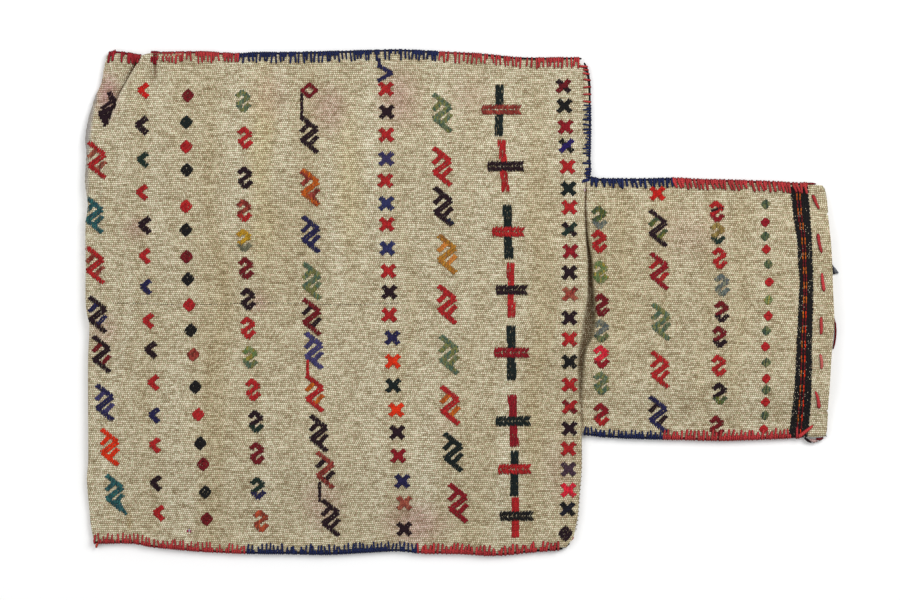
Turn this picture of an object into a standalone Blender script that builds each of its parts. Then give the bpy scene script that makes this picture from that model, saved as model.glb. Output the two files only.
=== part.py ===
"""A flat-woven wool saddle pouch of the salt-bag shape, lying on its back with the front up.

One long striped cloth is folded at the closed end. Its long sides and its shoulders are overcast
together with coloured yarn, and the narrow neck stays open at the mouth, where the cloth is
turned in and held by a running stitch. Units are metres, x runs from the fold to the mouth,
y from the lower seam to the upper one, and z up from the surface that the bag lies on.
"""

import math

import bmesh
import bpy
from mathutils import Vector
from mathutils.bvhtree import BVHTree

COLLECTION = "kilim_saddle_pouch"
CUTTERS = "motif_patches"

# Driving sizes of the cloth as it is sewn up
POCKET_LENGTH = 0.500
POCKET_WIDTH = 0.499
NECK_LENGTH = 0.250
NECK_WIDTH = 0.254
SHOULDER_STEP = 0.126
CLOTH = 0.0026
GAP = 0.0003

# How far the front stands above its seams
POCKET_LOFT = 0.0152
NECK_LOFT = 0.0098
CREASE_LOFT = 0.0080
CREASE_POCKET_SIDE = 0.024
CREASE_NECK_SIDE = 0.020
POCKET_RISE_START = 0.013
POCKET_RISE_END = 0.110
NECK_RISE_END = 0.060
FOLD_LOFT_SHARE = 0.32
FOLD_RISE = 0.110

# Overcast seams
SEAM_STRIP = 0.013
YARN = 0.0012
EDGE_CORD = 0.0016
STITCH_PITCH = 0.013
LONG_STITCH = 0.0095
SHORT_STITCH = 0.0070
SHORTER = 0.8

# Where the seam yarn changes colour, as shares of the pocket's or the neck's length
NAVY_FROM_UPPER = 0.31
RED_FROM_UPPER = 0.71
NAVY_FROM_LOWER = 0.33
RED_FROM_LOWER = 0.67
RED_FROM_NECK_UPPER = 0.36
RED_FROM_NECK_LOWER = 0.34
SHOULDER_TURN = 0.33

# Hem at the mouth, and its stitches: share of the neck's width, length, lean, inset from the mouth
HEM_DEPTH = 0.021
HEM_ROOM = 0.0048
HEM_LIFT = 0.00015
HEM_THREAD = 0.0012
HEM_STITCHES = (
    (0.10, 0.012, -0.008, 0.012), (0.185, 0.017, 0.005, 0.013), (0.34, 0.015, 0.001, 0.012),
    (0.475, 0.017, -0.001, 0.013), (0.64, 0.018, 0.002, 0.011), (0.79, 0.019, 0.004, 0.010),
    (0.925, 0.014, 0.007, 0.008),
)

# Loose yarn beside the mouth: share of the neck's width, distance out from the mouth
LOOP_YARN = 0.0010
SLACK_LOOP = ((0.335, 0.0014), (0.36, 0.0028), (0.39, 0.0036), (0.425, 0.0034), (0.46, 0.0014))
CUT_END = ((0.661, 0.0014), (0.652, 0.0038), (0.64, 0.0066))

# Tuck at the corner where the fold meets the upper seam
TUCK_INSET = 0.035
TUCK_OVERLAP = 0.009
TUCK_REACH = 0.077
TUCK_FOOT = 0.018
TUCK_OPENING = 0.008
TUCK_FADE = 0.070
TUCK_SPREAD = 0.0016
TUCK_UNFOLD = TUCK_OPENING / (TUCK_OPENING + TUCK_OVERLAP)

# Raised yarn of the woven motifs, and how many steps of their drawings go across the pocket and the neck
MOTIF_RISE = 0.0008
MOTIF_ROOT = 0.0012
MOTIF_CLEAR = 0.003
POCKET_STEP = POCKET_WIDTH / 499
NECK_STEP = NECK_WIDTH / 254

# Outlines of the motifs in steps. A turned outline is drawn on one side and repeated half a turn round.
ZIGZAG = ((9.5, 6.5), (-3.2, -4.2), (0.2, -6.6), (9.5, -2.6), (3.8, -9.4), (8.6, -16.5))
HOOKS = ((-8.2, 5.2), (-0.6, 10.2), (7.2, 5.6), (-0.6, -4.4), (5.8, -1.4))
STAR = ((7.5, 6.8), (-7.5, 6.8), (-2.4, 0))
LOZENGE = ((6.6, 0), (0, 6.4))
SPOT = ((3.4, 0), (0, 3.6))
TICK = ((5, 9), (-7, 0), (5, -9), (6, -4), (-0.6, 0), (6, 4))
UPRIGHT_WIDTH = 7.6
CROSS_ARM = ((18, 4.4), (-18, 4.4))
THREAD_APART = 0.5

# Wander of each edge: share of the way along it, and metres outward
UPPER_SWAY = (
    (0, -0.004), (0.12, -0.002), (0.23, 0.001), (0.38, -0.002), (0.6, 0.003), (0.87, -0.005),
    (1, -0.004),
)
LOWER_SWAY = (
    (0, -0.008), (0.1, -0.008), (0.2, -0.002), (0.4, 0.0), (0.63, -0.003), (0.82, 0.002), (1, -0.004),
)
FOLD_SWAY = (
    (0, 0.013), (0.04, 0.009), (0.1, 0.004), (0.45, 0.003), (0.6, 0), (0.82, 0.001), (0.9, 0.009),
    (1, 0.024),
)
SHOULDER_SWAY = (
    (0, -0.026), (0.026, -0.012), (0.07, -0.004), (0.25, 0), (0.75, 0.003), (0.97, 0.004), (1, -0.006),
)
NECK_UPPER_SWAY = ((0, 0), (0.25, 0), (0.5, -0.002), (0.8, -0.005), (1, -0.006))
NECK_LOWER_SWAY = ((0, 0), (0.1, 0.003), (0.4, 0.006), (0.75, 0.006), (1, 0.003))
MOUTH_SWAY = (
    (0, -0.008), (0.15, -0.006), (0.33, -0.002), (0.5, 0), (0.72, -0.002), (0.85, -0.006), (1, -0.012),
)

# Colours of the yarns, as sRGB
CREAM = (0.76, 0.71, 0.61)
RED = (0.62, 0.16, 0.17)
DARK_RED = (0.42, 0.11, 0.14)
PURPLE = (0.22, 0.12, 0.18)
BLACK_GREEN = (0.13, 0.15, 0.13)
NAVY = (0.15, 0.16, 0.34)
TEAL = (0.29, 0.43, 0.42)
SAGE = (0.46, 0.51, 0.39)
OCHRE = (0.70, 0.48, 0.25)
BRICK = (0.55, 0.26, 0.21)
ORANGE = (0.80, 0.33, 0.16)
CORAL = (0.80, 0.40, 0.33)
SLATE = (0.36, 0.39, 0.46)

# Rows of motifs, left to right: outline, place along the pocket or the neck, then for each motif its
# place across and its colour, and last how far the row drifts along by its lower end. Places are
# parts in a thousand, across from the upper edge to the lower one.
POCKET_ROWS = (
    (ZIGZAG, 13, ((212, DARK_RED), (325, TEAL), (427, RED), (523, PURPLE), (603, PURPLE), (698, NAVY),
                  (788, ORANGE), (879, TEAL)), 52),
    (TICK, 118, ((76, RED), (145, PURPLE), (213, BLACK_GREEN), (279, RED), (344, PURPLE), (406, RED),
                 (468, NAVY), (535, RED), (593, PURPLE), (658, RED), (724, NAVY), (783, RED),
                 (859, PURPLE), (918, RED)), 32),
    (LOZENGE, 202, ((86, DARK_RED), (139, BLACK_GREEN), (187, RED), (234, BLACK_GREEN), (306, RED),
                    (354, BLACK_GREEN), (407, DARK_RED), (451, BLACK_GREEN), (503, RED),
                    (555, BLACK_GREEN), (602, BRICK), (667, BLACK_GREEN), (721, RED),
                    (779, BLACK_GREEN), (820, DARK_RED), (876, BLACK_GREEN), (930, DARK_RED)), 44),
    (HOOKS, 312, ((96, SAGE), (169, RED), (248, PURPLE), (314, BRICK), (374, OCHRE), (429, DARK_RED),
                  (491, PURPLE), (548, RED), (607, SAGE), (671, RED), (735, PURPLE), (798, DARK_RED),
                  (867, BLACK_GREEN), (933, BRICK)), 43),
    (ZIGZAG, 446, ((84, DARK_RED), (167, PURPLE), (272, OCHRE), (364, NAVY), (455, SAGE),
                   (526, DARK_RED), (597, NAVY), (678, RED), (759, PURPLE), (836, BRICK),
                   (928, PURPLE)), 50),
    (STAR, 600, ((72, RED), (118, PURPLE), (163, RED), (211, NAVY), (255, RED), (301, NAVY), (342, RED),
                 (390, NAVY), (436, RED), (477, PURPLE), (523, RED), (569, NAVY), (616, ORANGE),
                 (664, BLACK_GREEN), (713, ORANGE), (758, PURPLE), (804, DARK_RED), (855, NAVY),
                 (899, BRICK), (950, PURPLE)), 42),
    (ZIGZAG, 711, ((120, SAGE), (227, RED), (306, PURPLE), (402, OCHRE), (502, RED), (603, SAGE),
                   (704, RED), (798, BLACK_GREEN), (899, RED)), 41),
    (STAR, 957, ((66, PURPLE), (106, BLACK_GREEN), (148, RED), (186, NAVY), (227, RED),
                 (271, BLACK_GREEN), (309, RED), (353, PURPLE), (396, RED), (439, PURPLE), (482, BRICK),
                 (529, PURPLE), (573, RED), (617, BLACK_GREEN), (663, RED), (706, DARK_RED),
                 (750, PURPLE), (791, RED), (831, SLATE), (873, RED), (911, BLACK_GREEN)), 8),
)
# Crosses: place along and across, length of an upright arm in steps, colour of the arms and of the bar
CROSSES = (
    (833, 110, 20, BLACK_GREEN, BRICK), (842, 222, 20, RED, PURPLE), (848, 356, 21, BLACK_GREEN, RED),
    (855, 473, 22, RED, PURPLE), (856, 598, 22, BLACK_GREEN, DARK_RED), (858, 738, 20, RED, BLACK_GREEN),
    (861, 833, 17, BLACK_GREEN, RED), (864, 926, 14, RED, BLACK_GREEN),
)
NECK_ROWS = (
    (HOOKS, 64, ((152, SAGE), (246, RED), (371, SAGE), (492, DARK_RED), (594, SLATE), (695, RED),
                 (798, SAGE), (920, DARK_RED)), 6),
    (ZIGZAG, 304, ((198, PURPLE), (364, DARK_RED), (562, SAGE), (748, RED), (912, PURPLE)), 0),
    (HOOKS, 544, ((126, DARK_RED), (212, TEAL), (310, RED), (400, SLATE), (512, DARK_RED), (612, PURPLE),
                  (724, RED), (832, PURPLE), (944, DARK_RED)), 0),
    (SPOT, 732, ((95, SAGE), (165, RED), (219, SAGE), (270, RED), (329, SAGE), (399, RED), (469, SAGE),
                 (531, RED), (589, SAGE), (651, RED), (713, SAGE), (775, RED), (819, SAGE), (869, RED),
                 (919, SAGE)), 0),
)

# Band across the neck: its place as a share of the neck's length, how far it bows, its two strips
BAND_PLACE = 0.862
BAND_BOW = 0.007
BAND_STRIP = 0.0055
BAND_SLOT = 0.0046
DASH = ((1.5, 6.5), (-1.5, 6.5))

# How many points a row of the sheet has in each part of it
HEM_POINTS = 5
NECK_STATIONS = 3
NECK_ROOT_STATIONS = 3
NECK_BACK_STATIONS = 3
POCKET_STEPS = 6

# How many rows each zone of the sheet has between its edges
LOWER_STEPS = 3
NECK_STEPS = 6
UPPER_STEPS = 4

# Rules that the edges follow

def blend(a, b, share):
    return a + (b - a) * share


def smooth(share):
    share = min(max(share, 0.0), 1.0)
    return share * share * (3 - 2 * share)


def sway(points, share):
    """Reads a wander list at a share of the way along an edge, with soft turns."""
    share = min(max(share, 0.0), 1.0)
    for (s0, a), (s1, b) in zip(points, points[1:]):
        if share <= s1:
            return blend(a, b, smooth((share - s0) / (s1 - s0)))
    return points[-1][1]


def upper_edge(x):
    return POCKET_WIDTH + sway(UPPER_SWAY, x / POCKET_LENGTH)


def lower_edge(x):
    return -sway(LOWER_SWAY, x / POCKET_LENGTH)


def neck_upper_edge(x):
    share = (x - POCKET_LENGTH) / NECK_LENGTH
    return POCKET_WIDTH - SHOULDER_STEP + sway(NECK_UPPER_SWAY, share)


def neck_lower_edge(x):
    share = (x - POCKET_LENGTH) / NECK_LENGTH
    return POCKET_WIDTH - SHOULDER_STEP - NECK_WIDTH - sway(NECK_LOWER_SWAY, share)


def fold_edge(y):
    return sway(FOLD_SWAY, y / POCKET_WIDTH)


def shoulder_edge(y):
    return POCKET_LENGTH + sway(SHOULDER_SWAY, y / POCKET_WIDTH)


def mouth_edge(y):
    share = (y - POCKET_WIDTH + SHOULDER_STEP + NECK_WIDTH) / NECK_WIDTH
    return POCKET_LENGTH + NECK_LENGTH + sway(MOUTH_SWAY, share)


# Heights of the two layers of cloth, at the middle of their thickness

LAYER = CLOTH + GAP
BACK_ON_FLOOR = CLOTH / 2
BACK_AT_SEAM = BACK_ON_FLOOR + YARN + GAP
FRONT_AT_SEAM = BACK_AT_SEAM + LAYER


def shoulder_distance(x, y):
    """Distance to the nearer of the two shoulder seams."""
    upper = Vector((x - shoulder_edge(y), min(y - neck_upper_edge(POCKET_LENGTH), 0)))
    lower = Vector((x - shoulder_edge(y), max(y - neck_lower_edge(POCKET_LENGTH), 0)))
    return min(upper.length, lower.length)


def neck_distance(x, y):
    return min(neck_upper_edge(x) - y, y - neck_lower_edge(x))


def pocket_distance(x, y):
    return min(upper_edge(x) - y, y - lower_edge(x))


def cover(distance, end):
    """Share of the full loft at a distance from a seam."""
    return smooth((distance - POCKET_RISE_START) / (end - POCKET_RISE_START))


def tuck_share(y):
    """How far up the tuck a row lies, from 0 at its foot to 1 at the upper seam."""
    return min(max((y - POCKET_WIDTH + TUCK_REACH) / TUCK_REACH, 0.0), 1.0)


def tuck_ridge(y):
    return fold_edge(y) + blend(TUCK_FOOT, TUCK_INSET, tuck_share(y))


def tuck_height(y):
    return 2 * LAYER * smooth(tuck_share(y) / TUCK_UNFOLD)


def front_height(x, y, over_tuck=True):
    past_root = smooth(0.5 + (x - shoulder_edge(y)) / (CREASE_POCKET_SIDE + CREASE_NECK_SIDE))
    from_fold = blend(FOLD_LOFT_SHARE, 1, smooth((x - fold_edge(y)) / FOLD_RISE))
    pocket = cover(pocket_distance(x, y), POCKET_RISE_END) * from_fold
    pocket *= cover(shoulder_distance(x, y), POCKET_RISE_END)
    neck = cover(neck_distance(x, y), NECK_RISE_END)
    offset = x - shoulder_edge(y)
    if offset < 0:
        level = blend(CREASE_LOFT, POCKET_LOFT, smooth(-offset / CREASE_POCKET_SIDE))
    else:
        level = blend(CREASE_LOFT, NECK_LOFT, smooth(offset / CREASE_NECK_SIDE))
    height = FRONT_AT_SEAM + level * blend(pocket, neck, past_root)
    if over_tuck:
        height += tuck_height(y) * (1 - smooth((x - tuck_ridge(y)) / TUCK_FADE))
    return height


def back_height(x, y):
    seam = min(pocket_distance(x, y), shoulder_distance(x, y))
    if x > POCKET_LENGTH:
        seam = neck_distance(x, y)
    return blend(BACK_AT_SEAM, BACK_ON_FLOOR, smooth((seam - POCKET_RISE_START) / POCKET_RISE_START))


# The folded sheet, row by row

LOWER_ZONE, NECK_ZONE, UPPER_ZONE = range(3)


def zone_edges(x):
    return (lower_edge(x), neck_lower_edge(x), neck_upper_edge(x), upper_edge(x))


def sheet_rows():
    """Rows from the lower seam to the upper one: zone, and share of the way across the zone."""
    lower_width = POCKET_WIDTH - SHOULDER_STEP - NECK_WIDTH
    lower_strip = SEAM_STRIP / lower_width
    neck_strip = SEAM_STRIP / NECK_WIDTH
    upper_strip = SEAM_STRIP / SHOULDER_STEP
    rows = [(LOWER_ZONE, 0.0)]
    rows += [(LOWER_ZONE, blend(lower_strip, 1, i / LOWER_STEPS)) for i in range(LOWER_STEPS)]
    rows += [(NECK_ZONE, 0.0)]
    steps = [i / NECK_STEPS for i in range(NECK_STEPS + 1)]
    rows += [(NECK_ZONE, blend(neck_strip, 1 - neck_strip, step)) for step in steps]
    rows += [(NECK_ZONE, 1.0)]
    rows += [(UPPER_ZONE, blend(0, 1 - upper_strip, i / UPPER_STEPS)) for i in range(1, UPPER_STEPS + 1)]
    rows += [(UPPER_ZONE, 1.0)]
    return rows


def row_y(row, x):
    zone, share = row
    edges = zone_edges(x)
    return blend(edges[zone], edges[zone + 1], share)


def bend(centre, radius, start, turn, count):
    """Corners of a bend whose flats touch a circle: a path turns at each of them alike."""
    reach = math.copysign(radius / math.cos(turn / count / 2), turn)
    headings = [start + turn * (i + 0.5) / count for i in range(count)]
    return [(centre[0] + reach * math.sin(h), centre[1] - reach * math.cos(h)) for h in headings]


def tuck_section(y):
    """Two bends of the tuck, from the lower layer on the left to the upper one on the right."""
    low = front_height(tuck_ridge(y), y, over_tuck=False)
    height = tuck_height(y)
    radius = LAYER / 2
    overlap = blend(-TUCK_OPENING, TUCK_OVERLAP, tuck_share(y))
    under = (tuck_ridge(y) + overlap, low + radius)
    over = (tuck_ridge(y), low + height - radius)
    run = over[0] - under[0]
    rise = over[1] - under[1]
    turn = math.atan2(rise, run) + math.asin(min(1.0, 2 * radius / math.hypot(run, rise)))
    turn = max(turn, math.radians(1))
    corners = bend(under, radius, 0, turn, 3) + bend(over, radius, turn, -turn, 3)
    slack = TUCK_SPREAD * (1 - turn / math.pi)
    shifts = (-2, -1, 0, 0, 1, 2)
    return [(x + shift * slack, z) for (x, z), shift in zip(corners, shifts)]


def pocket_stations(y):
    """Front of the pocket from the neck root towards the tuck, finer beside the crease."""
    root = shoulder_edge(y)
    near = [root, root - 0.27 * CREASE_POCKET_SIDE, root - SEAM_STRIP, root - 1.2 * CREASE_POCKET_SIDE]
    last = tuck_ridge(y) + 2 * TUCK_OPENING
    far = [blend(near[-1], last, (i + 1) / POCKET_STEPS) for i in range(POCKET_STEPS)]
    return near + far


def neck_stations(y):
    """Front of the neck from the mouth back to the root, finer beside the crease."""
    root = shoulder_edge(y)
    near = [root + 1.5 * CREASE_NECK_SIDE, root + 0.7 * CREASE_NECK_SIDE, root + 0.3 * CREASE_NECK_SIDE]
    end = mouth_edge(y) - HEM_DEPTH
    return [blend(end, near[0], i / NECK_STATIONS) for i in range(NECK_STATIONS)] + near


def hem_front(y):
    """Turned-in hem of the front and its bend, or nothing where the neck is too flat for it."""
    x = mouth_edge(y)
    top = front_height(x - LAYER, y)
    radius = LAYER / 2
    centre = (x - CLOTH / 2 - radius, top - radius)
    if top - LAYER - CLOTH / 2 < BACK_ON_FLOOR + 1.5 * CLOTH + HEM_ROOM / 2:
        return [None] * (HEM_POINTS - 1) + [(x, top)]
    inner = (x - HEM_DEPTH, front_height(x - HEM_DEPTH, y) - LAYER)
    corners = bend(centre, radius, 0, math.pi, 3)
    return [inner, (centre[0] - LAYER, top - LAYER)] + corners


def hem_back(y):
    """The same for the back: corners from the floor up and back over it."""
    x = mouth_edge(y)
    floor = back_height(x - LAYER, y)
    if hem_front(y)[0] is None:
        return [(x, floor)] + [None] * (HEM_POINTS - 1)
    radius = LAYER / 2
    centre = (x - CLOTH / 2 - radius, floor + radius + HEM_LIFT)
    corners = bend(centre, radius, 0, math.pi, 3)
    return corners + [(centre[0] - LAYER, floor + LAYER), (x - HEM_DEPTH, floor + LAYER)]


def row_points(row):
    """One row of the sheet as points, from the front's hem round the fold to the back's hem."""
    y = row_y(row, POCKET_LENGTH / 2)
    through_neck = row[0] == NECK_ZONE or row == (UPPER_ZONE, 0.0)
    neck_y = row_y(row, POCKET_LENGTH + NECK_LENGTH) if through_neck else y
    section = []
    if through_neck:
        section += hem_front(neck_y)
        section += [(x, front_height(x, row_y(row, x))) for x in neck_stations(neck_y)]
    else:
        section += [None] * (HEM_POINTS + NECK_STATIONS + NECK_ROOT_STATIONS)
    section += [(x, front_height(x, row_y(row, x))) for x in pocket_stations(y)]
    section += list(reversed(tuck_section(y)))
    section += fold_section(y)
    section += [(x, back_height(x, row_y(row, x))) for x in back_stations(y)]
    if through_neck:
        section += [(x, back_height(x, row_y(row, x))) for x in neck_back_stations(y, neck_y)]
        section += hem_back(neck_y)
    else:
        section += [None] * (NECK_BACK_STATIONS + HEM_POINTS)
    return [None if p is None else Vector((p[0], row_y(row, p[0]), p[1])) for p in section]


def fold_section(y):
    """The closed end: cloth beside the tuck, then round the fold and onto the back."""
    left = fold_edge(y)
    top = front_height(left, y, over_tuck=False)
    floor = back_height(left, y)
    radius = (top - floor) / 2
    centre = (left + CLOTH / 2 + radius, (top + floor) / 2)
    beside = blend(centre[0], tuck_section(y)[0][0], 0.5)
    corners = bend(centre, radius, math.pi, math.pi, 4)
    return [(beside, front_height(beside, y, over_tuck=False))] + corners


def back_stations(y):
    root = shoulder_edge(y)
    start = fold_edge(y) + SEAM_STRIP
    middle = [blend(start, root - 2 * SEAM_STRIP, i / 3) for i in range(4)]
    return middle + [root - SEAM_STRIP, root]


def neck_back_stations(y, neck_y):
    root = shoulder_edge(y)
    end = mouth_edge(neck_y) - HEM_DEPTH
    return [blend(root, end, 0.12), blend(root, end, 0.6), end]


def woven_cloth():
    """The one cloth: a sheet of rows, given its thickness on both sides."""
    rows = [row_points(row) for row in sheet_rows()]
    mesh = bpy.data.meshes.new("woven_cloth")
    bm = bmesh.new()
    verts = [[None if p is None else bm.verts.new(p) for p in row] for row in rows]
    for near, far in zip(verts, verts[1:]):
        for j in range(len(near) - 1):
            corners = (near[j], near[j + 1], far[j + 1], far[j])
            if None not in corners:
                bm.faces.new(corners)
    bm.to_mesh(mesh)
    bm.free()
    cloth = add_part("woven_cloth", mesh, wool(*yarn(CREAM)))
    wall = cloth.modifiers.new("cloth", "SOLIDIFY")
    wall.thickness = CLOTH
    wall.offset = 0
    wall.use_even_offset = True
    wall.use_rim = True
    return cloth


# Overcast seams

def tube(name, sections, material):
    """A closed body through a list of sections with as many corners each."""
    bm = bmesh.new()
    loops = [[bm.verts.new(p) for p in section] for section in sections]
    for near, far in zip(loops, loops[1:]):
        for i in range(len(near)):
            j = (i + 1) % len(near)
            bm.faces.new((near[i], near[j], far[j], far[i]))
    bm.faces.new(list(reversed(loops[0])))
    bm.faces.new(loops[-1])
    bmesh.ops.recalc_face_normals(bm, faces=bm.faces[:])
    mesh = bpy.data.meshes.new(name)
    bm.to_mesh(mesh)
    bm.free()
    return add_part(name, mesh, material)


def read_line(points, axis, along):
    """Point of a broken line at a place along x (axis 0) or y (axis 1)."""
    points = sorted(points, key=lambda p: p[axis])
    pairs = list(zip(points, points[1:]))
    a, b = next((pair for pair in pairs if along <= pair[1][axis]), pairs[-1])
    return a.lerp(b, (along - a[axis]) / (b[axis] - a[axis]))


def stitch_places(line, axis, span):
    """Steps of about one pitch along a seam, with one at each corner of the line."""
    start, end = span
    between = sorted(p[axis] for p in line if start + GAP < p[axis] < end - GAP)
    corners = [start, *between, end]
    places = [start]
    for near, far in zip(corners, corners[1:]):
        count = max(1, round((far - near) / STITCH_PITCH))
        places += [blend(near, far, (i + 1) / count) for i in range(count)]
    return places


def overcast(name, lines, axis, inward, span, reach, colour, front_stitches=True):
    """Edge cord with a pointed stitch over the front and the back at each step along the seam.

    The cord keeps clear of the outer one of the two cloth edges, the front line and the back line.
    """
    front, back = lines
    places = stitch_places(front, axis, span)
    count = len(places) - 1
    inward = Vector(inward)
    sections = []
    for place in places:
        on_front = read_line(front, axis, place)
        on_back = read_line(back, axis, place)
        foot = min(on_front, on_back, key=lambda p: p.dot(inward)).copy()
        foot -= inward * GAP
        foot.z = 0
        outer = foot - inward * EDGE_CORD
        leg = on_front.z + CLOTH / 2 + GAP
        top = leg + YARN if front_stitches else on_front.z
        leg = top - YARN
        heights = ((outer, 0), (outer, top), (foot, top), (foot, leg), (foot, YARN), (foot, 0))
        sections.append([point + Vector((0, 0, z)) for point, z in heights])
    seam = tube(name, sections, wool(*yarn(colour)))
    bm = bmesh.new()
    bm.from_mesh(seam.data)
    bm.faces.ensure_lookup_table()
    sides = (2, 4) if front_stitches else (4,)
    long_faces = [bm.faces[i * 6 + side] for i in range(0, count, 2) for side in sides]
    short_faces = [bm.faces[i * 6 + side] for i in range(1, count, 2) for side in sides]
    bmesh.ops.poke(bm, faces=long_faces, offset=reach, center_mode="MEAN")
    bmesh.ops.poke(bm, faces=short_faces, offset=reach * SHORTER, center_mode="MEAN")
    bm.to_mesh(seam.data)
    bm.free()
    return seam


def points_on(row, stations, height):
    return [Vector((x, row_y(row, x), height(x, row_y(row, x)))) for x in stations]


def pocket_lines(row):
    """Edges of the front and the back along a long side of the pocket."""
    y = row_y(row, POCKET_LENGTH / 2)
    stations = pocket_stations(y) + [tuck_section(y)[-1][0]]
    if tuck_height(y) == 0:
        stations += [tuck_section(y)[0][0], fold_section(y)[0][0], fold_edge(y) + CLOTH]
    return points_on(row, stations, front_height), points_on(row, back_stations(y), back_height)


def tuck_lines(row):
    """Edges of the layer that lies under the tuck, and of the back."""
    y = row_y(row, POCKET_LENGTH / 2)
    stations = (fold_edge(y) + CLOTH, fold_section(y)[0][0], tuck_ridge(y) + TUCK_OVERLAP)
    under = points_on(row, stations, lambda x, y: front_height(x, y, over_tuck=False))
    return under, points_on(row, back_stations(y), back_height)


def neck_lines(row):
    y = row_y(row, POCKET_LENGTH / 2)
    neck_y = row_y(row, POCKET_LENGTH + NECK_LENGTH)
    front = [mouth_edge(neck_y)] + neck_stations(neck_y) + [shoulder_edge(y)]
    back = [shoulder_edge(y)] + neck_back_stations(y, neck_y) + [mouth_edge(neck_y)]
    return points_on(row, front, front_height), points_on(row, back, back_height)


def shoulder_lines(zone):
    """Edge of a shoulder, the same for the front and the back."""
    rows = [row for row in sheet_rows() if row[0] == zone]
    if zone == UPPER_ZONE:
        rows.append((NECK_ZONE, 1.0))
    else:
        rows.append((NECK_ZONE, 0.0))
    points = []
    for row in rows:
        x = shoulder_edge(row_y(row, POCKET_LENGTH / 2))
        y = row_y(row, x)
        points.append(Vector((x, y, front_height(x, y))))
    points.sort(key=lambda p: p.y)
    return points, points


DOWN = (0, -1, 0)
UP = (0, 1, 0)
LEFT = (-1, 0, 0)


def seams():
    """Each stretch of overcasting in its own colour, with a small step where the yarn changes."""
    upper = pocket_lines((UPPER_ZONE, 1.0))
    under = tuck_lines((UPPER_ZONE, 1.0))
    lower = pocket_lines((LOWER_ZONE, 0.0))
    neck_upper = neck_lines((NECK_ZONE, 1.0))
    neck_lower = neck_lines((NECK_ZONE, 0.0))
    upper_shoulder = shoulder_lines(UPPER_ZONE)
    lower_shoulder = shoulder_lines(LOWER_ZONE)
    corner = fold_edge(POCKET_WIDTH)
    ridge = tuck_ridge(POCKET_WIDTH)
    fold = fold_edge(0)
    neck_top = POCKET_WIDTH - SHOULDER_STEP
    neck_foot = neck_top - NECK_WIDTH
    root = POCKET_LENGTH
    clear = EDGE_CORD + 2 * GAP
    mouth = mouth_edge(neck_top) - SEAM_STRIP / 2
    mouth_low = mouth_edge(neck_foot) - SEAM_STRIP / 2
    change = 2 * GAP

    tuck = (corner + 2 * LAYER, ridge - LAYER)
    overcast("seam_red_tuck", under, 0, DOWN, tuck, SHORT_STITCH, RED)
    start = ridge + TUCK_OVERLAP + LAYER
    navy, red = NAVY_FROM_UPPER * root, RED_FROM_UPPER * root
    end = shoulder_edge(POCKET_WIDTH)
    overcast("seam_red_upper_left", upper, 0, DOWN, (start, navy - change), LONG_STITCH, RED)
    overcast("seam_navy_upper", upper, 0, DOWN, (navy, red - change), LONG_STITCH, NAVY)
    overcast("seam_red_upper_right", upper, 0, DOWN, (red, end), LONG_STITCH, RED)

    top = upper_shoulder[0][-2].y
    turn = blend(top, neck_top, SHOULDER_TURN)
    overcast("seam_red_shoulder", upper_shoulder, 1, LEFT, (turn + change, top), SHORT_STITCH, RED)
    overcast("seam_navy_shoulder", upper_shoulder, 1, LEFT, (neck_top + clear, turn), SHORT_STITCH, NAVY)
    plain = (lower_shoulder[0][1].y, neck_foot - clear)
    overcast("seam_plain_shoulder", lower_shoulder, 1, LEFT, plain, SHORT_STITCH, CREAM, False)

    red = blend(root, mouth, RED_FROM_NECK_UPPER)
    start = shoulder_edge(neck_top) + GAP
    overcast("seam_navy_neck_upper", neck_upper, 0, DOWN, (start, red - change), SHORT_STITCH, NAVY)
    overcast("seam_red_neck_upper", neck_upper, 0, DOWN, (red, mouth), SHORT_STITCH, RED)
    red = blend(root, mouth_low, RED_FROM_NECK_LOWER)
    start = shoulder_edge(neck_foot) + GAP
    overcast("seam_navy_neck_lower", neck_lower, 0, UP, (start, red - change), SHORT_STITCH, NAVY)
    overcast("seam_red_neck_lower", neck_lower, 0, UP, (red, mouth_low), SHORT_STITCH, RED)

    start, navy, red = fold + 2 * LAYER, NAVY_FROM_LOWER * root, RED_FROM_LOWER * root
    end = shoulder_edge(0)
    overcast("seam_red_lower_left", lower, 0, UP, (start, navy - change), LONG_STITCH, RED)
    overcast("seam_navy_lower", lower, 0, UP, (navy, red - change), LONG_STITCH, NAVY)
    overcast("seam_red_lower_right", lower, 0, UP, (red, end), LONG_STITCH, RED)


# Running stitch of the hem and the loose ends at the mouth

def thread(name, points, radius, colour):
    """A short length of yarn as a round curve through its points."""
    curve = bpy.data.curves.new(name, "CURVE")
    curve.dimensions = "3D"
    curve.bevel_depth = radius
    curve.bevel_resolution = 2
    curve.use_fill_caps = True
    spline = curve.splines.new("POLY")
    spline.points.add(len(points) - 1)
    for corner, point in zip(spline.points, points):
        corner.co = (*point, 1)
    return add_part(name, curve, wool(*yarn(colour)))


def surface_reader(cloth):
    """Reads the height of the cloth's upper face under a point."""
    tree = BVHTree.FromObject(cloth, bpy.context.evaluated_depsgraph_get())

    def height(x, y):
        """Tries again a hair to the side where the ray slips between two faces."""
        for nudge in (0, GAP / 10, -GAP / 10):
            above = Vector((x + nudge, y + nudge, POCKET_WIDTH))
            hit = tree.ray_cast(above, Vector((0, 0, -1)))[0]
            if hit is not None:
                return hit.z
        raise ValueError(f"no cloth under ({x}, {y})")
    return height


def resting_height(height, x, y):
    """Highest point of the cloth under a thread's width."""
    around = ((0, 0), (1, 0), (-1, 0), (0, 1), (0, -1))
    return max(height(x + dx * HEM_THREAD, y + dy * HEM_THREAD) for dx, dy in around)


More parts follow.
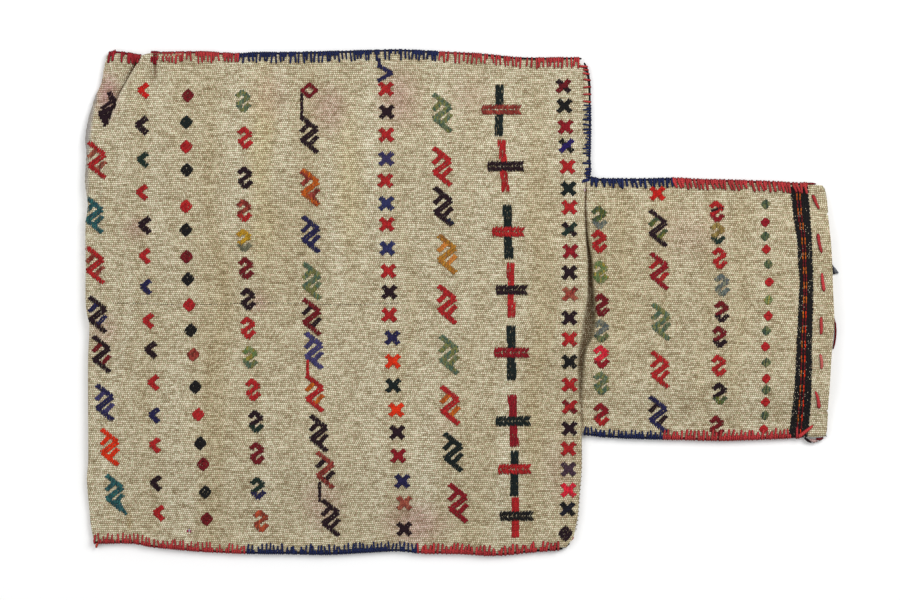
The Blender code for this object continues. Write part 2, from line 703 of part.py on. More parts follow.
def hem_stitches(height):
    """Visible lengths of the running stitch, laid over the hem."""
    neck_foot = POCKET_WIDTH - SHOULDER_STEP - NECK_WIDTH
    for number, (share, length, lean, inset) in enumerate(HEM_STITCHES, start=1):
        y = neck_foot + share * NECK_WIDTH
        x = mouth_edge(y) - inset
        places = [(x + lean * share, y - length * share) for share in (-0.5, -0.25, 0, 0.25, 0.5)]
        points = [(px, py, resting_height(height, px, py) + GAP + HEM_THREAD) for px, py in places]
        thread(f"hem_stitch_{number}", points, HEM_THREAD, CORAL if number % 2 else RED)


def loose_ends():
    """A slack loop of hem yarn and a cut end, both lying on the ground beside the mouth."""
    foot = POCKET_WIDTH - SHOULDER_STEP - NECK_WIDTH
    for name, points, colour in (("slack_loop", SLACK_LOOP, DARK_RED), ("cut_end", CUT_END, SLATE)):
        places = [(foot + share * NECK_WIDTH, out) for share, out in points]
        thread(name, [(mouth_edge(y) + out, y, LOOP_YARN) for y, out in places], LOOP_YARN, colour)


# Motifs, woven in raised yarn on the front

def turned(outline):
    return list(outline) + [(-x, -y) for x, y in outline]


def clear_of_edges(x, y):
    """The nearest place that is clear of the seams, the fold, the crease's foot and the mouth."""
    if x < POCKET_LENGTH:
        y = min(max(y, lower_edge(x) + LONG_STITCH), upper_edge(x) - LONG_STITCH)
        return min(max(x, fold_edge(y) + MOTIF_CLEAR), shoulder_edge(y) - MOTIF_CLEAR), y
    y = min(max(y, neck_lower_edge(x) + LONG_STITCH), neck_upper_edge(x) - LONG_STITCH)
    return min(x, mouth_edge(y) - MOTIF_CLEAR), y


def raised(faces, height, colour):
    """Flat patches of yarn that follow the cloth under them and root in its upper half."""
    bm = bmesh.new()
    for face in faces:
        corners = []
        for corner in face:
            x, y = clear_of_edges(*corner)
            corners.append(bm.verts.new((x, y, height(x, y))))
        bm.faces.new(corners)
    bmesh.ops.remove_doubles(bm, verts=bm.verts[:], dist=GAP / 10)
    grown = bmesh.ops.extrude_face_region(bm, geom=bm.faces[:])["geom"]
    top = [v for v in grown if isinstance(v, bmesh.types.BMVert)]
    bmesh.ops.translate(bm, verts=top, vec=(0, 0, MOTIF_RISE + MOTIF_ROOT))
    bmesh.ops.translate(bm, verts=bm.verts[:], vec=(0, 0, -MOTIF_ROOT))
    bmesh.ops.recalc_face_normals(bm, faces=bm.faces[:])
    mesh = bpy.data.meshes.new("motif")
    bm.to_mesh(mesh)
    bm.free()
    mesh.materials.append(wool(*yarn(colour)))
    motif = bpy.data.objects.new("motif", mesh)
    bpy.data.collections[CUTTERS].objects.link(motif)
    return motif


def drawn(outline, centre):
    """An outline in steps set round its centre on the bag."""
    step = POCKET_STEP if centre[0] < POCKET_LENGTH else NECK_STEP
    return [[(centre[0] + x * step, centre[1] + y * step) for x, y in outline]]


def place_on_pocket(along, across):
    """Point of the pocket's front from parts in a thousand."""
    y = blend(POCKET_WIDTH, 0, across / 1000)
    return along / 1000 * POCKET_LENGTH, y


def place_on_neck(along, across):
    x = POCKET_LENGTH + along / 1000 * NECK_LENGTH
    return x, blend(neck_upper_edge(x), neck_lower_edge(x), across / 1000)


def motif_rows(height):
    motifs = []
    for rows, place in ((POCKET_ROWS, place_on_pocket), (NECK_ROWS, place_on_neck)):
        for outline, along, motifs_across, drift in rows:
            shape = outline if outline is TICK else turned(outline)
            for across, colour in motifs_across:
                centre = place(along + drift * across / 1000, across)
                motifs.append(raised(drawn(shape, centre), height, colour))
    return motifs


def crosses(height):
    """A bar with an upright arm above and below it, a thread's gap apart."""
    motifs = []
    for along, across, length, upright, bar in CROSSES:
        x, y = place_on_pocket(along, across)
        reach = (length / 2 + CROSS_ARM[0][1] + THREAD_APART) * POCKET_STEP
        arm = turned(((UPRIGHT_WIDTH / 2, length / 2), (-UPRIGHT_WIDTH / 2, length / 2)))
        motifs.append(raised(drawn(turned(CROSS_ARM), (x, y)), height, bar))
        motifs.append(raised(drawn(arm, (x, y + reach)), height, upright))
        motifs.append(raised(drawn(arm, (x, y - reach)), height, upright))
    return motifs


def neck_band(height):
    """Two dark strips side by side that bow with the mouth, with coloured dashes between them."""
    centre = POCKET_LENGTH + BAND_PLACE * NECK_LENGTH
    rungs = [row_y(row, centre) for row in sheet_rows() if row[0] == NECK_ZONE]
    foot, top = rungs[0], rungs[-1]
    rungs = rungs[1:-1]
    bows = [BAND_BOW * math.sin(math.pi * (y - foot) / (top - foot)) for y in rungs]
    ladder = list(zip(bows, rungs))
    patches = []
    for side in (-1, 1):
        near = centre + side * BAND_SLOT / 2
        far = near + side * BAND_STRIP
        faces = [[(near + a, low), (far + a, low), (far + b, high), (near + b, high)]
                 for (a, low), (b, high) in zip(ladder, ladder[1:])]
        patches.append(raised(faces, height, BLACK_GREEN))
    for (a, low), (b, high) in zip(ladder, ladder[1:]):
        for share, colour in ((0.25, ORANGE), (0.75, RED)):
            place = (centre + blend(a, b, share), blend(low, high, share))
            patches.append(raised(drawn(turned(DASH), place), height, colour))
    return patches


def weave_in(cloth, motifs, name):
    """Joins patches of yarn to the cloth, which keeps their colours."""
    with bpy.context.temp_override(active_object=motifs[0], selected_editable_objects=motifs):
        bpy.ops.object.join()
    motifs[0].name = name
    motifs[0].hide_render = True
    motifs[0].display_type = "WIRE"
    union = cloth.modifiers.new(name, "BOOLEAN")
    union.operation = "UNION"
    union.solver = "EXACT"
    union.material_mode = "TRANSFER"
    union.object = motifs[0]


# Materials and objects

YARN_NAMES = {
    RED: "red_yarn", DARK_RED: "dark_red_yarn", PURPLE: "purple_yarn", BLACK_GREEN: "black_green_yarn",
    NAVY: "navy_yarn", TEAL: "teal_yarn", SAGE: "sage_yarn", OCHRE: "ochre_yarn", BRICK: "brick_yarn",
    ORANGE: "orange_yarn", CORAL: "coral_yarn", SLATE: "slate_yarn", CREAM: "cream_weave",
}


def yarn(colour):
    return YARN_NAMES[colour], colour


def linear(colour):
    return tuple(c / 12.92 if c <= 0.04045 else ((c + 0.055) / 1.055) ** 2.4 for c in colour)


def wool(name, colour):
    """Matt wool yarn of one colour."""
    material = bpy.data.materials.get(name) or bpy.data.materials.new(name)
    material.use_nodes = True
    shader = material.node_tree.nodes["Principled BSDF"]
    shader.inputs["Base Color"].default_value = (*linear(colour), 1)
    shader.inputs["Roughness"].default_value = 0.9
    shader.inputs["Metallic"].default_value = 0.0
    return material


def add_part(name, data, material):
    part = bpy.data.objects.new(name, data)
    data.materials.append(material)
    bpy.data.collections[COLLECTION].objects.link(part)
    return part


def clear_scene():
    for old in list(bpy.data.objects):
        bpy.data.objects.remove(old, do_unlink=True)
    for name in (COLLECTION, CUTTERS):
        bpy.context.scene.collection.children.link(bpy.data.collections.new(name))


def centre_on_origin():
    """Moves the parts so that the origin is below the middle of the whole bag."""
    bpy.context.view_layer.update()
    parts = bpy.data.collections[COLLECTION].objects[:]
    graph = bpy.context.evaluated_depsgraph_get()
    corners = []
    for part in parts:
        final = part.evaluated_get(graph)
        corners += [vert.co.copy() for vert in final.to_mesh().vertices]
        final.to_mesh_clear()
    lowest = [min(corner[axis] for corner in corners) for axis in range(3)]
    highest = [max(corner[axis] for corner in corners) for axis in range(3)]
    centre = bpy.data.objects.new("bag_centre", None)
    bpy.context.scene.collection.objects.link(centre)
    centre.location = (-(lowest[0] + highest[0]) / 2, -(lowest[1] + highest[1]) / 2, 0)
    for part in parts + bpy.data.collections[CUTTERS].objects[:]:
        part.parent = centre


def main():
    clear_scene()
    cloth = woven_cloth()
    seams()
    height = surface_reader(cloth)
    hem_stitches(height)
    loose_ends()
    weave_in(cloth, motif_rows(height) + crosses(height) + neck_band(height), "motif_patches")
    centre_on_origin()


main()
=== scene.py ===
# %% [markdown]
# # Flat-woven saddle pouch
#
# A wide pocket and a narrow neck, made of one woollen cloth that is folded at the left end and
# overcast along its sides. It lies on its back and is seen from above.
#
# Plan coordinates are millimetres: x runs from the fold to the mouth, y runs down the picture,
# and heights are above the floor.

# %% Setup
import math
import random
from bisect import bisect_right

import bpy
from mathutils import Matrix, Vector, noise
from mathutils.bvhtree import BVHTree


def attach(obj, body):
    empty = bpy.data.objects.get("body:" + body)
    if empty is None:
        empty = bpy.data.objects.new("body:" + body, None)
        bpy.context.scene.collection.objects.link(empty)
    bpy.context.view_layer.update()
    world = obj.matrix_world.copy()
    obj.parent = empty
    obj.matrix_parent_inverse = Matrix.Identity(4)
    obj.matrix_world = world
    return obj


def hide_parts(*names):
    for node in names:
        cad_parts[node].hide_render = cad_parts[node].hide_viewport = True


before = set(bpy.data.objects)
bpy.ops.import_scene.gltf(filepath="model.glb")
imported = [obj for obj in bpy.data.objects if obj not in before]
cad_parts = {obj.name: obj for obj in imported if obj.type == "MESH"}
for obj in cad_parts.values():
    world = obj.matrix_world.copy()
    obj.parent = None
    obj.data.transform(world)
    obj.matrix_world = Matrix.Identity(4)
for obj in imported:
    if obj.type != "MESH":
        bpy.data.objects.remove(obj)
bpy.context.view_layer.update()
chance = random.Random(7)
MM = 0.001
PLAN_ORIGIN = (461.9, 302.1)


def at(x, y, z=0.0):
    """Point of the scene from plan millimetres and a height."""
    return Vector(((x - PLAN_ORIGIN[0]) * MM, (PLAN_ORIGIN[1] - y) * MM, z * MM))


EYE = at(450, 300, 2512)


def jitter(amount):
    return chance.uniform(-amount, amount)


def pairs(*numbers):
    """(place, value) pairs from the numbers in turn."""
    return list(zip(numbers[::2], numbers[1::2]))


def blend(a, b, share):
    return a + (b - a) * share


def steps(a, b, count, first=0):
    """A count of evenly spaced values: from a and short of b, or with first=1 from past a and up to b."""
    return [blend(a, b, (i + first) / count) for i in range(count)]


def smooth(share):
    share = min(max(share, 0.0), 1.0)
    return share * share * (3 - 2 * share)


def read(points, place):
    """Value at a place of a list of (place, value) pairs, joined by a soft curve."""
    places = [p[0] for p in points]
    i = min(max(bisect_right(places, place) - 1, 0), len(points) - 2)
    before, after = max(i - 1, 0), min(i + 2, len(points) - 1)
    step = places[i + 1] - places[i]
    share = min(max((place - places[i]) / step, 0.0), 1.0)
    rise_in = (points[i + 1][1] - points[before][1]) / (places[i + 1] - places[before]) * step
    rise_out = (points[after][1] - points[i][1]) / (places[after] - places[i]) * step
    s2, s3 = share * share, share * share * share
    return ((2 * s3 - 3 * s2 + 1) * points[i][1] + (s3 - 2 * s2 + share) * rise_in
            + (3 * s2 - 2 * s3) * points[i + 1][1] + (s3 - s2) * rise_out)


# %% [markdown]
# ## Outline of the cloth
# The long edges are read at an x, and the fold, the root of the neck and the mouth at a y.
# %% Outline
TOP = pairs(
    98, 60, 104, 57, 109, 53.6, 114, 52.6, 128, 54.4, 139, 56.4, 144, 54.4, 150, 53, 162, 53.6, 200, 53,
    238, 55, 255, 53.8, 283, 53.8, 321, 53, 376, 51.5, 401, 51, 440, 53, 480, 55, 521, 59, 568, 59, 582, 59)
BOTTOM = pairs(
    97, 542, 132, 542, 150, 545.4, 166, 547, 200, 550, 244, 552, 287, 552.4, 330, 553, 364, 551, 399, 549.6,
    420, 551.6, 459, 552, 494, 554, 528, 551, 559, 548.4, 570, 547.6)
LEFT = pairs(
    55, 106.5, 64, 104, 72, 102, 80, 100.6, 86, 98.4, 91, 95.4, 98, 92.6, 105, 90.6, 113, 88, 121, 86.2,
    130, 84.6, 140, 83.6, 152, 85, 181, 83.6, 206, 87, 224, 84.6, 264, 84.8, 300, 84.6, 314, 86, 324, 88.4,
    359, 87.2, 410, 87.2, 462, 87.2, 480, 85.8, 515, 88.6, 525, 89.6, 538, 92, 547, 95)
ROOT = pairs(
    56, 580, 61, 583, 68, 586, 81, 588.5, 112, 589, 136, 589, 157, 588.5, 171, 589, 180, 587, 195, 586,
    214, 586, 240, 587.5, 261, 590, 282, 590.5, 296, 591, 310, 590.5, 324, 589, 338, 587, 348, 583, 366, 581,
    378, 581, 394, 580.7, 409, 581.7, 427, 582.5, 437, 582, 471, 582, 497, 580, 522, 578, 532, 576, 540, 574.6,
    546, 572, 551, 567)
# How dark the painted shade in the crease at the root of the neck is, by y
CREASE_SHADE_DARKNESS = pairs(176, 0, 182, 0.85, 240, 1, 275, 0.95, 300, 0.82, 340, 0.78, 362, 0.78, 400, 0.7, 438, 0.35)
CREASE_WIDTH = pairs(
    178, 1, 195, 1.6, 214, 2.2, 240, 2.6, 261, 4.2, 282, 5, 296, 6.2, 310, 9, 324, 11, 338, 10, 348, 7,
    366, 5.5, 378, 4.6, 394, 3.4, 409, 3, 427, 2.4, 437, 1)
NECK_TOP = pairs(
    400, 178, 591, 179, 599, 180.4, 646, 180.6, 674, 180, 704, 181.4, 733, 182, 771, 183.4, 800, 185,
    812, 184.6, 821, 185)
NECK_BOTTOM = pairs(
    400, 436, 582, 433, 608, 435.4, 646, 437, 685, 437.8, 723, 438.6, 761, 437.4, 800, 436.2, 817, 437.4,
    826, 436.6)
MOUTH = pairs(
    185, 823, 188, 825.4, 198, 827.6, 212, 828.6, 221, 829, 252, 831.4, 294, 833, 323, 834, 351, 831.6,
    399, 829, 430, 828, 437, 826.4)

# Heights and thickness of the cloth
CLOTH = 2.0
GAP = 0.3
LAYER = CLOTH + GAP
FLOOR_LAYER = CLOTH / 2
BACK_SEAM = 2.5
FRONT_SEAM = BACK_SEAM + LAYER + 0.3
POCKET_LOFT = 15.0
NECK_LOFT = 9.5
EDGE_SLOPE = 9
POCKET_SLOPE = 110
SHOULDER_SLOPE = 100
NECK_SLOPE = 58
FOLD_SLOPE = 105
FOLD_LOFT_SHARE = 0.3
STEP_WIDTH = 24
WAVES = ((95, 1.3), (38, 0.7))

# Crease at the root of the neck
CREASE_FLOOR = 5.2
CREASE_SLOPE = 2.4
CREASE_DIP = 3.2
CREASE_DIP_WIDTH = 13

# Tuck
TUCK_TOP = 54
TUCK_FOOT = 131
TUCK_RIDGE = pairs(
    54, 142.5, 65, 136, 81, 127.8, 93, 122, 103, 118, 111, 114.4, 120, 109.6, 131, 104.5, 160, 112)
TUCK_OVERLAP = 12
TUCK_OPENING = 6
TUCK_FADE = 60
TUCK_SLACK = 0.64
FURROW_X, FURROW_DEPTH, FURROW_WIDTH = 154, 1.8, 3.2

UPPER, NECK, LOWER = range(3)


def zone_edges(x):
    return read(TOP, x), read(NECK_TOP, x), read(NECK_BOTTOM, x), read(BOTTOM, x)


def cover(distance, start, end):
    return smooth((distance - start) / (end - start))


def tuck_share(y):
    return min(max((TUCK_FOOT - y) / (TUCK_FOOT - TUCK_TOP), 0.0), 1.0)


def tuck_height(y):
    return 2 * LAYER * smooth(tuck_share(y) * (1 + TUCK_OVERLAP / TUCK_OPENING))


def ripple(x, y, size):
    """Gentle unevenness, between about -1 and 1, with waves of a size."""
    return noise.noise(Vector((x / size, y / size, size)))


def front_height(x, y, over_tuck=True):
    edges = zone_edges(x)
    root = read(ROOT, y)
    to_side = min(y - edges[0], edges[3] - y)
    to_neck = min(y - edges[1], edges[2] - y)
    to_shoulder = math.hypot(root - x, max(to_neck, 0))
    pocket = cover(to_side, EDGE_SLOPE, POCKET_SLOPE) * cover(to_shoulder, EDGE_SLOPE, SHOULDER_SLOPE)
    pocket *= blend(FOLD_LOFT_SHARE, 1, smooth((x - read(LEFT, y)) / FOLD_SLOPE))
    neck = cover(to_neck, EDGE_SLOPE, NECK_SLOPE)
    past = smooth(0.5 + (x - root) / STEP_WIDTH)
    height = blend(POCKET_LOFT * pocket, NECK_LOFT * neck, past)
    height += sum(tall * ripple(x, y, size) for size, tall in WAVES) * blend(pocket, neck, past)
    if to_neck > 0:
        off = abs(x - root)
        half = read(CREASE_WIDTH, y) / 2
        inside = 1 - smooth((off - half) / CREASE_SLOPE)
        height -= CREASE_DIP * (1 - smooth(off / CREASE_DIP_WIDTH)) * neck
        height = blend(height, min(height, CREASE_FLOOR - FRONT_SEAM), inside)
    height += FRONT_SEAM
    beside = (x - FURROW_X - 0.08 * (y - 56)) / FURROW_WIDTH
    height -= FURROW_DEPTH * math.exp(-beside ** 2) * smooth((112 - y) / 50)
    if over_tuck:
        height += tuck_height(y) * (1 - smooth((x - read(TUCK_RIDGE, y)) / TUCK_FADE))
    return height


def back_height(x, y):
    edges = zone_edges(x)
    to_side = min(y - edges[0], edges[3] - y)
    if x > read(ROOT, y) - 1:
        to_side = min(y - edges[1], edges[2] - y)
    return blend(BACK_SEAM, FLOOR_LAYER, cover(to_side, 12, 24))


# %% [markdown]
# ## The folded sheet, row by row
# %% Rows of the sheet
ROWS = {UPPER: 37, NECK: 75, LOWER: 34}
BESIDE_CREASE = (0.6, 1.2, 1.8, 2.4, 3.2, 4.4, 6.2, 8.8, 12)
POCKET_COLUMNS = 132
NECK_COLUMNS = 66
BACK_COLUMNS = 60
NECK_BACK_COLUMNS = 30
HEM_COLUMNS = 7
HEM_CORNERS = 6
HEM_DEPTH = 21
HEM_TURN = 3
HEM_ROOM = 3 * LAYER
FOLD_CORNERS = 9
TUCK_CORNERS = 7
SCALLOP, SCALLOP_PITCH = 0.7, 2.3
NO_HEM = [None] * (HEM_COLUMNS + HEM_CORNERS)
BESIDE_FOLD = 9

# Places along the bag where a row's y is read for its pocket, its mouth and its fold
POCKET_X, MOUTH_X, FOLD_X = 330, 820, 100

# Places along a row of the root of the neck, the tuck and the fold
ROOT_PLACE = len(NO_HEM) + 1 + NECK_COLUMNS + 2 + len(BESIDE_CREASE)
TUCK_PLACE = ROOT_PLACE + 3 + len(BESIDE_CREASE) + POCKET_COLUMNS
FOLD_PLACE = TUCK_PLACE + 2 * TUCK_CORNERS + BESIDE_FOLD


def row_y(row, x):
    zone, share = row
    edges = zone_edges(x)
    return blend(edges[zone], edges[zone + 1], share)


def bend(centre, radius, start, turn, count):
    """Corners of a bend whose flats touch a circle."""
    reach = math.copysign(radius / math.cos(turn / count / 2), turn)
    headings = [start + turn * (i + 0.5) / count for i in range(count)]
    return [(centre[0] + reach * math.sin(h), centre[1] - reach * math.cos(h)) for h in headings]


def tuck_section(y):
    """The two bends of the tuck, from the layer below on the left to the one above."""
    ridge = read(TUCK_RIDGE, y) if y > TUCK_TOP else TUCK_RIDGE[0][1]
    low = front_height(ridge, y, over_tuck=False)
    radius = LAYER / 2
    overlap = blend(-TUCK_OPENING, TUCK_OVERLAP, tuck_share(y))
    under = (ridge + overlap, low + radius)
    over = (ridge, low + tuck_height(y) - radius)
    run, rise = over[0] - under[0], over[1] - under[1]
    turn = math.atan2(rise, run) + math.asin(min(1.0, 2 * radius / math.hypot(run, rise)))
    turn = max(turn, math.radians(1))
    corners = bend(under, radius, 0, turn, TUCK_CORNERS) + bend(over, radius, turn, -turn, TUCK_CORNERS)
    slack = TUCK_SLACK * (1 - turn / math.pi)
    middle = (len(corners) - 1) / 2
    return [(x + (i - middle) * slack, z) for i, (x, z) in enumerate(corners)]


def crease_places(y, side):
    half = max(read(CREASE_WIDTH, y), 1.0) / 2
    return [read(ROOT, y) + side * off for off in (half * 0.5, half, *(half + step for step in BESIDE_CREASE))]


def hem(x, height, side):
    """Turned-in hem from its inner end to the bend at the mouth; side is 1 on the front, -1 on the back."""
    radius = LAYER / 2
    centre = (x - CLOTH / 2 - radius, height - side * radius)
    last = x - HEM_TURN
    inner = [(place, height - side * LAYER) for place in (*steps(x - HEM_DEPTH, last, HEM_COLUMNS), last)]
    corners = bend(centre, radius, 0, math.pi, HEM_CORNERS)
    return inner + [(cx, centre[1] + side * (cz - centre[1])) for cx, cz in corners]


def row_points(row):
    """A row from the hem of the front, round the fold, to the hem of the back."""

    def layer(height, stations):
        return [(x, height(x, row_y(row, x))) for x in stations]

    y = row_y(row, POCKET_X)
    through_neck = row[0] == NECK or row == (UPPER, 1.0)
    mouth_y = row_y(row, MOUTH_X) if through_neck else y
    root, mouth = read(ROOT, y), read(MOUTH, mouth_y)
    neck_side, pocket_side = crease_places(y, 1)[::-1], crease_places(y, -1)
    front, back = front_height(mouth - HEM_TURN, mouth_y), back_height(mouth - HEM_TURN, mouth_y)
    turned_in = through_neck and front - back > HEM_ROOM
    if through_neck:
        section = hem(mouth, front, 1) if turned_in else NO_HEM + [(mouth, front)]
        section += layer(front_height, steps(mouth - 4, neck_side[0], NECK_COLUMNS) + neck_side)
    else:
        section = NO_HEM + [None] * (1 + NECK_COLUMNS + len(neck_side))
    tuck = tuck_section(y)
    last = tuck[-1][0] + 3
    section += layer(front_height, [root] + pocket_side + steps(pocket_side[-1], last, POCKET_COLUMNS, 1))
    section += tuck[::-1]
    left_y = row_y(row, FOLD_X)
    left = read(LEFT, left_y) + SCALLOP * abs(math.sin(left_y / SCALLOP_PITCH)) * smooth((215 - left_y) / 40)
    top, floor = front_height(left, y, over_tuck=False), back_height(left, y)
    radius = (top - floor) / 2
    centre = (left + CLOTH / 2 + radius, (top + floor) / 2)
    for x in steps(tuck[0][0], centre[0], BESIDE_FOLD + 1)[1:]:
        section.append((x, front_height(x, y, over_tuck=False)))
    section += bend(centre, radius, math.pi, math.pi, FOLD_CORNERS)
    section += layer(back_height, steps(centre[0] + 2, root, BACK_COLUMNS) + [root])
    if through_neck:
        section += layer(back_height, steps(root, mouth - HEM_DEPTH - 2, NECK_BACK_COLUMNS, 1))
        section += hem(mouth, back, -1)[::-1] if turned_in else [(mouth, back)] + NO_HEM
    else:
        section += [None] * (NECK_BACK_COLUMNS + 1) + NO_HEM
    return section


def shade_at(place, x, y):
    """How dark the cloth is in its folds, from 1 down to 0, and below 0 where a fold stands up to the light."""
    if place < ROOT_PLACE + 20:
        half = read(CREASE_WIDTH, y) / 2
        return read(CREASE_SHADE_DARKNESS, y) * (1 - smooth((abs(x - read(ROOT, y)) - half * 0.55) / (half * 0.7 + 0.9)))
    past = read(TUCK_RIDGE, y) - x
    folded = smooth(tuck_share(y) * 5)
    if place < TUCK_PLACE + TUCK_CORNERS:
        soft = 0.42 * math.exp(-((x - FURROW_X) / 3.4) ** 2) * smooth((92 - y) / 24)
        return soft - 0.2 * folded * math.exp(-(past / 1.6) ** 2)
    if place < FOLD_PLACE:
        return folded * (1.5 * math.exp(-max(past - 0.6, 0) / 1.9) + 0.3 * math.exp(-max(past, 0) / 6))
    return 0.0


def fill_row(row):
    """A row's points with their length along the cloth from the root of the neck, and their shade."""
    points, length, before = [], 0.0, None
    for place, p in enumerate(row_points(row)):
        if p is None:
            points.append(None)
            continue
        length += math.dist(p, before or p)
        before = p
        y = row_y(row, p[0])
        points.append((p[0], y, p[1], length, shade_at(place, p[0], y)))
    start = points[ROOT_PLACE][3]
    return [p and (*p[:3], p[3] - start, p[4]) for p in points]


COLUMN_KINDS = {1: ("FLOAT", "value"), 3: ("FLOAT_VECTOR", "vector"), 4: ("FLOAT_COLOR", "color")}


def new_mesh(name, corners, faces, **columns):
    """A mesh whose points carry columns of values: a number, a vector or a colour each."""
    mesh = bpy.data.meshes.new(name)
    mesh.from_pydata(corners, [], faces)
    for key, values in columns.items():
        kind, field = COLUMN_KINDS[len(values[0])]
        mesh.attributes.new(key, kind, "POINT").data.foreach_set(field, [c for value in values for c in value])
    return mesh


def cloth_mesh(name):
    """The sheet of all the rows as a mesh, with its place along and across the cloth as UV in metres."""
    rows = [(UPPER, share) for share in steps(0, 1, ROWS[UPPER])]
    rows += [(NECK, share) for share in steps(0, 1, ROWS[NECK])] + [(NECK, 1.0)]
    rows += [(LOWER, share) for share in steps(0, 1, ROWS[LOWER], 1)]
    corners, weave, shades, index = [], [], [], []
    for row in rows:
        index.append([])
        for p in fill_row(row):
            index[-1].append(None if p is None else len(corners))
            if p is not None:
                corners.append(at(*p[:3]))
                weave.append((p[3] * MM, (PLAN_ORIGIN[1] - p[1]) * MM))
                shades.append((p[4],))
    quads = [quad for near, far in zip(index, index[1:]) for quad in zip(near, far, far[1:], near[1:])]
    mesh = new_mesh(name, corners, [quad for quad in quads if None not in quad], shade=shades)
    layer = mesh.uv_layers.new(name="weave")
    for loop in mesh.loops:
        layer.data[loop.index].uv = weave[loop.vertex_index]
    mesh.shade_smooth()
    return mesh


def place_in_scene(name, data):
    piece = bpy.data.objects.new(name, data)
    bpy.context.scene.collection.objects.link(piece)
    return piece


def add(name, mesh, material):
    mesh.materials.append(material)
    return place_in_scene(name, mesh)


def settled(piece):
    """The piece with its modifiers carried out, as a plain mesh."""
    mesh = bpy.data.meshes.new_from_object(piece.evaluated_get(bpy.context.evaluated_depsgraph_get()))
    name = piece.name
    bpy.data.objects.remove(piece, do_unlink=True)
    mesh.name = name
    mesh.shade_smooth()
    return place_in_scene(name, mesh)


# %% [markdown]
# ## Materials
# %% Node helpers
def linear(colour):
    return tuple(c / 12.92 if c <= 0.04045 else ((c + 0.055) / 1.055) ** 2.4 for c in colour)


class Nodes:
    """Short way to write the nodes of a tree; three numbers for a colour are sRGB."""

    def __init__(self, tree):
        self.tree = tree

    def node(self, kind, settings=None, **inputs):
        node = self.tree.nodes.new(kind)
        for key, value in (settings or {}).items():
            setattr(node, key, value)
        for key, value in inputs.items():
            self.put(node.inputs[key], value)
        return node

    def put(self, socket, value):
        if isinstance(value, bpy.types.NodeSocket):
            self.tree.links.new(value, socket)
        elif socket.type == "RGBA":
            socket.default_value = (*linear(value), 1)
        else:
            socket.default_value = value

    def fed(self, node, *values):
        """The first output of a node, with its first inputs set in their order."""
        for socket, value in zip(node.inputs, values):
            self.put(socket, value)
        return node.outputs[0]


class Shader(Nodes):
    """Short way to write a material's nodes."""

    def __init__(self, name):
        self.material = bpy.data.materials.new(name)
        self.material.use_nodes = True
        super().__init__(self.material.node_tree)

    def math(self, operation, *values):
        return self.fed(self.node("ShaderNodeMath", {"operation": operation}), *values)

    def times(self, a, b):
        return self.math("MULTIPLY", a, b)

    def times_add(self, a, b, c):
        return self.math("MULTIPLY_ADD", a, b, c)

    def mix(self, factor, a, b, kind="MIX"):
        node = self.node("ShaderNodeMix", {"data_type": "RGBA", "blend_type": kind})
        for i, value in ((0, factor), (6, a), (7, b)):
            self.put(node.inputs[i], value)
        return node.outputs[2]

    def noise(self, vector, scale, detail=2.0, rough=0.5):
        node = self.node("ShaderNodeTexNoise", Vector=vector, Scale=scale, Detail=detail, Roughness=rough)
        return node.outputs["Fac"]

    def stretched(self, vector, scale, detail=2.0, rough=0.5):
        """Noise with a scale of its own in each direction."""
        stretch = self.node("ShaderNodeMapping", Vector=vector, Scale=scale).outputs["Vector"]
        return self.noise(stretch, 1.0, detail, rough)

    def joined(self, x, y):
        return self.node("ShaderNodeCombineXYZ", X=x, Y=y).outputs[0]

    def split(self, vector):
        return self.node("ShaderNodeSeparateXYZ", Vector=vector).outputs

    def attribute(self, name, output):
        return self.node("ShaderNodeAttribute", {"attribute_name": name}).outputs[output]

    def white(self, x, y):
        """A chance value between 0 and 1 for a pair of whole numbers."""
        return self.node("ShaderNodeTexWhiteNoise", Vector=self.joined(x, y)).outputs["Value"]

    def ramp(self, value, low, high, to_low=0.0, to_high=1.0):
        return self.fed(self.node("ShaderNodeMapRange"), value, low, high, to_low, to_high)

    def finish(self, colour, roughness, specular, relief, strength, depth):
        """The material, with its colour and its relief."""
        bump = self.node("ShaderNodeBump", Strength=strength, Distance=depth, Height=relief).outputs[0]
        surface = self.tree.nodes["Principled BSDF"].inputs
        for name, value in (("Base Color", colour), ("Roughness", roughness), ("Specular IOR Level", specular),
                            ("Normal", bump)):
            self.put(surface[name], value)
        return self.material


# %% Cloth material
RIB = 0.002
KNOT = 0.0019
PINK, TAN_TONE_AND_SHADE, FOLD_SHADE_GREY = (0.88, 0.7, 0.8), (0.88, 0.83, 0.72), (0.6, 0.58, 0.57)
FURROW_SHADE_BROWN, STRAW = (0.62, 0.5, 0.42), (1.0, 0.97, 0.84)
# Stains and tone of the cloth, and some painted shade, as (x, y, width, height, strength) spots in each tint
STAINS_AND_PAINTED_SHADE = (
    (PINK, (
        (107, 94, 14, 26, 0.75), (330, 108, 22, 28, 0.4), (398, 100, 26, 36, 0.5), (446, 430, 14, 20, 0.12),
        (415, 525, 38, 24, 0.5), (322, 505, 24, 30, 0.35), (268, 95, 20, 30, 0.25), (470, 95, 24, 26, 0.2),
        (560, 470, 22, 40, 0.2), (690, 235, 40, 30, 0.2))),
    # painted shade on the rounded edge of the fold
    (FOLD_SHADE_GREY, (
        (94.2, 96, 2.6, 10, 0.8), (90.6, 108, 3.4, 11, 0.8), (87.6, 122, 4.2, 12, 0.85), (85.6, 140, 5, 16, 0.85),
        (85.6, 168, 4.4, 34, 0.7))),
    # tan tone of the cloth; its first spot, at (129, 523), is painted shade of a soft fold
    (TAN_TONE_AND_SHADE, (
        (129, 523, 3, 11, 0.5), (270, 270, 45, 110, 0.25), (215, 330, 26, 230, 0.3), (620, 300, 40, 150, 0.3),
        (740, 310, 90, 150, 0.2), (540, 300, 25, 190, 0.3))),
    (PINK, ((137, 228, 15, 13, 0.4), (259, 302, 14, 15, 0.4), (104, 330, 18, 22, 0.3))),
    # painted shadow in the furrow beside the tuck
    (FURROW_SHADE_BROWN, ((154.6, 66, 2.6, 15, 0.95),)),
    (STRAW, ((262, 150, 16, 120, 0.45), (350, 190, 18, 90, 0.35))))


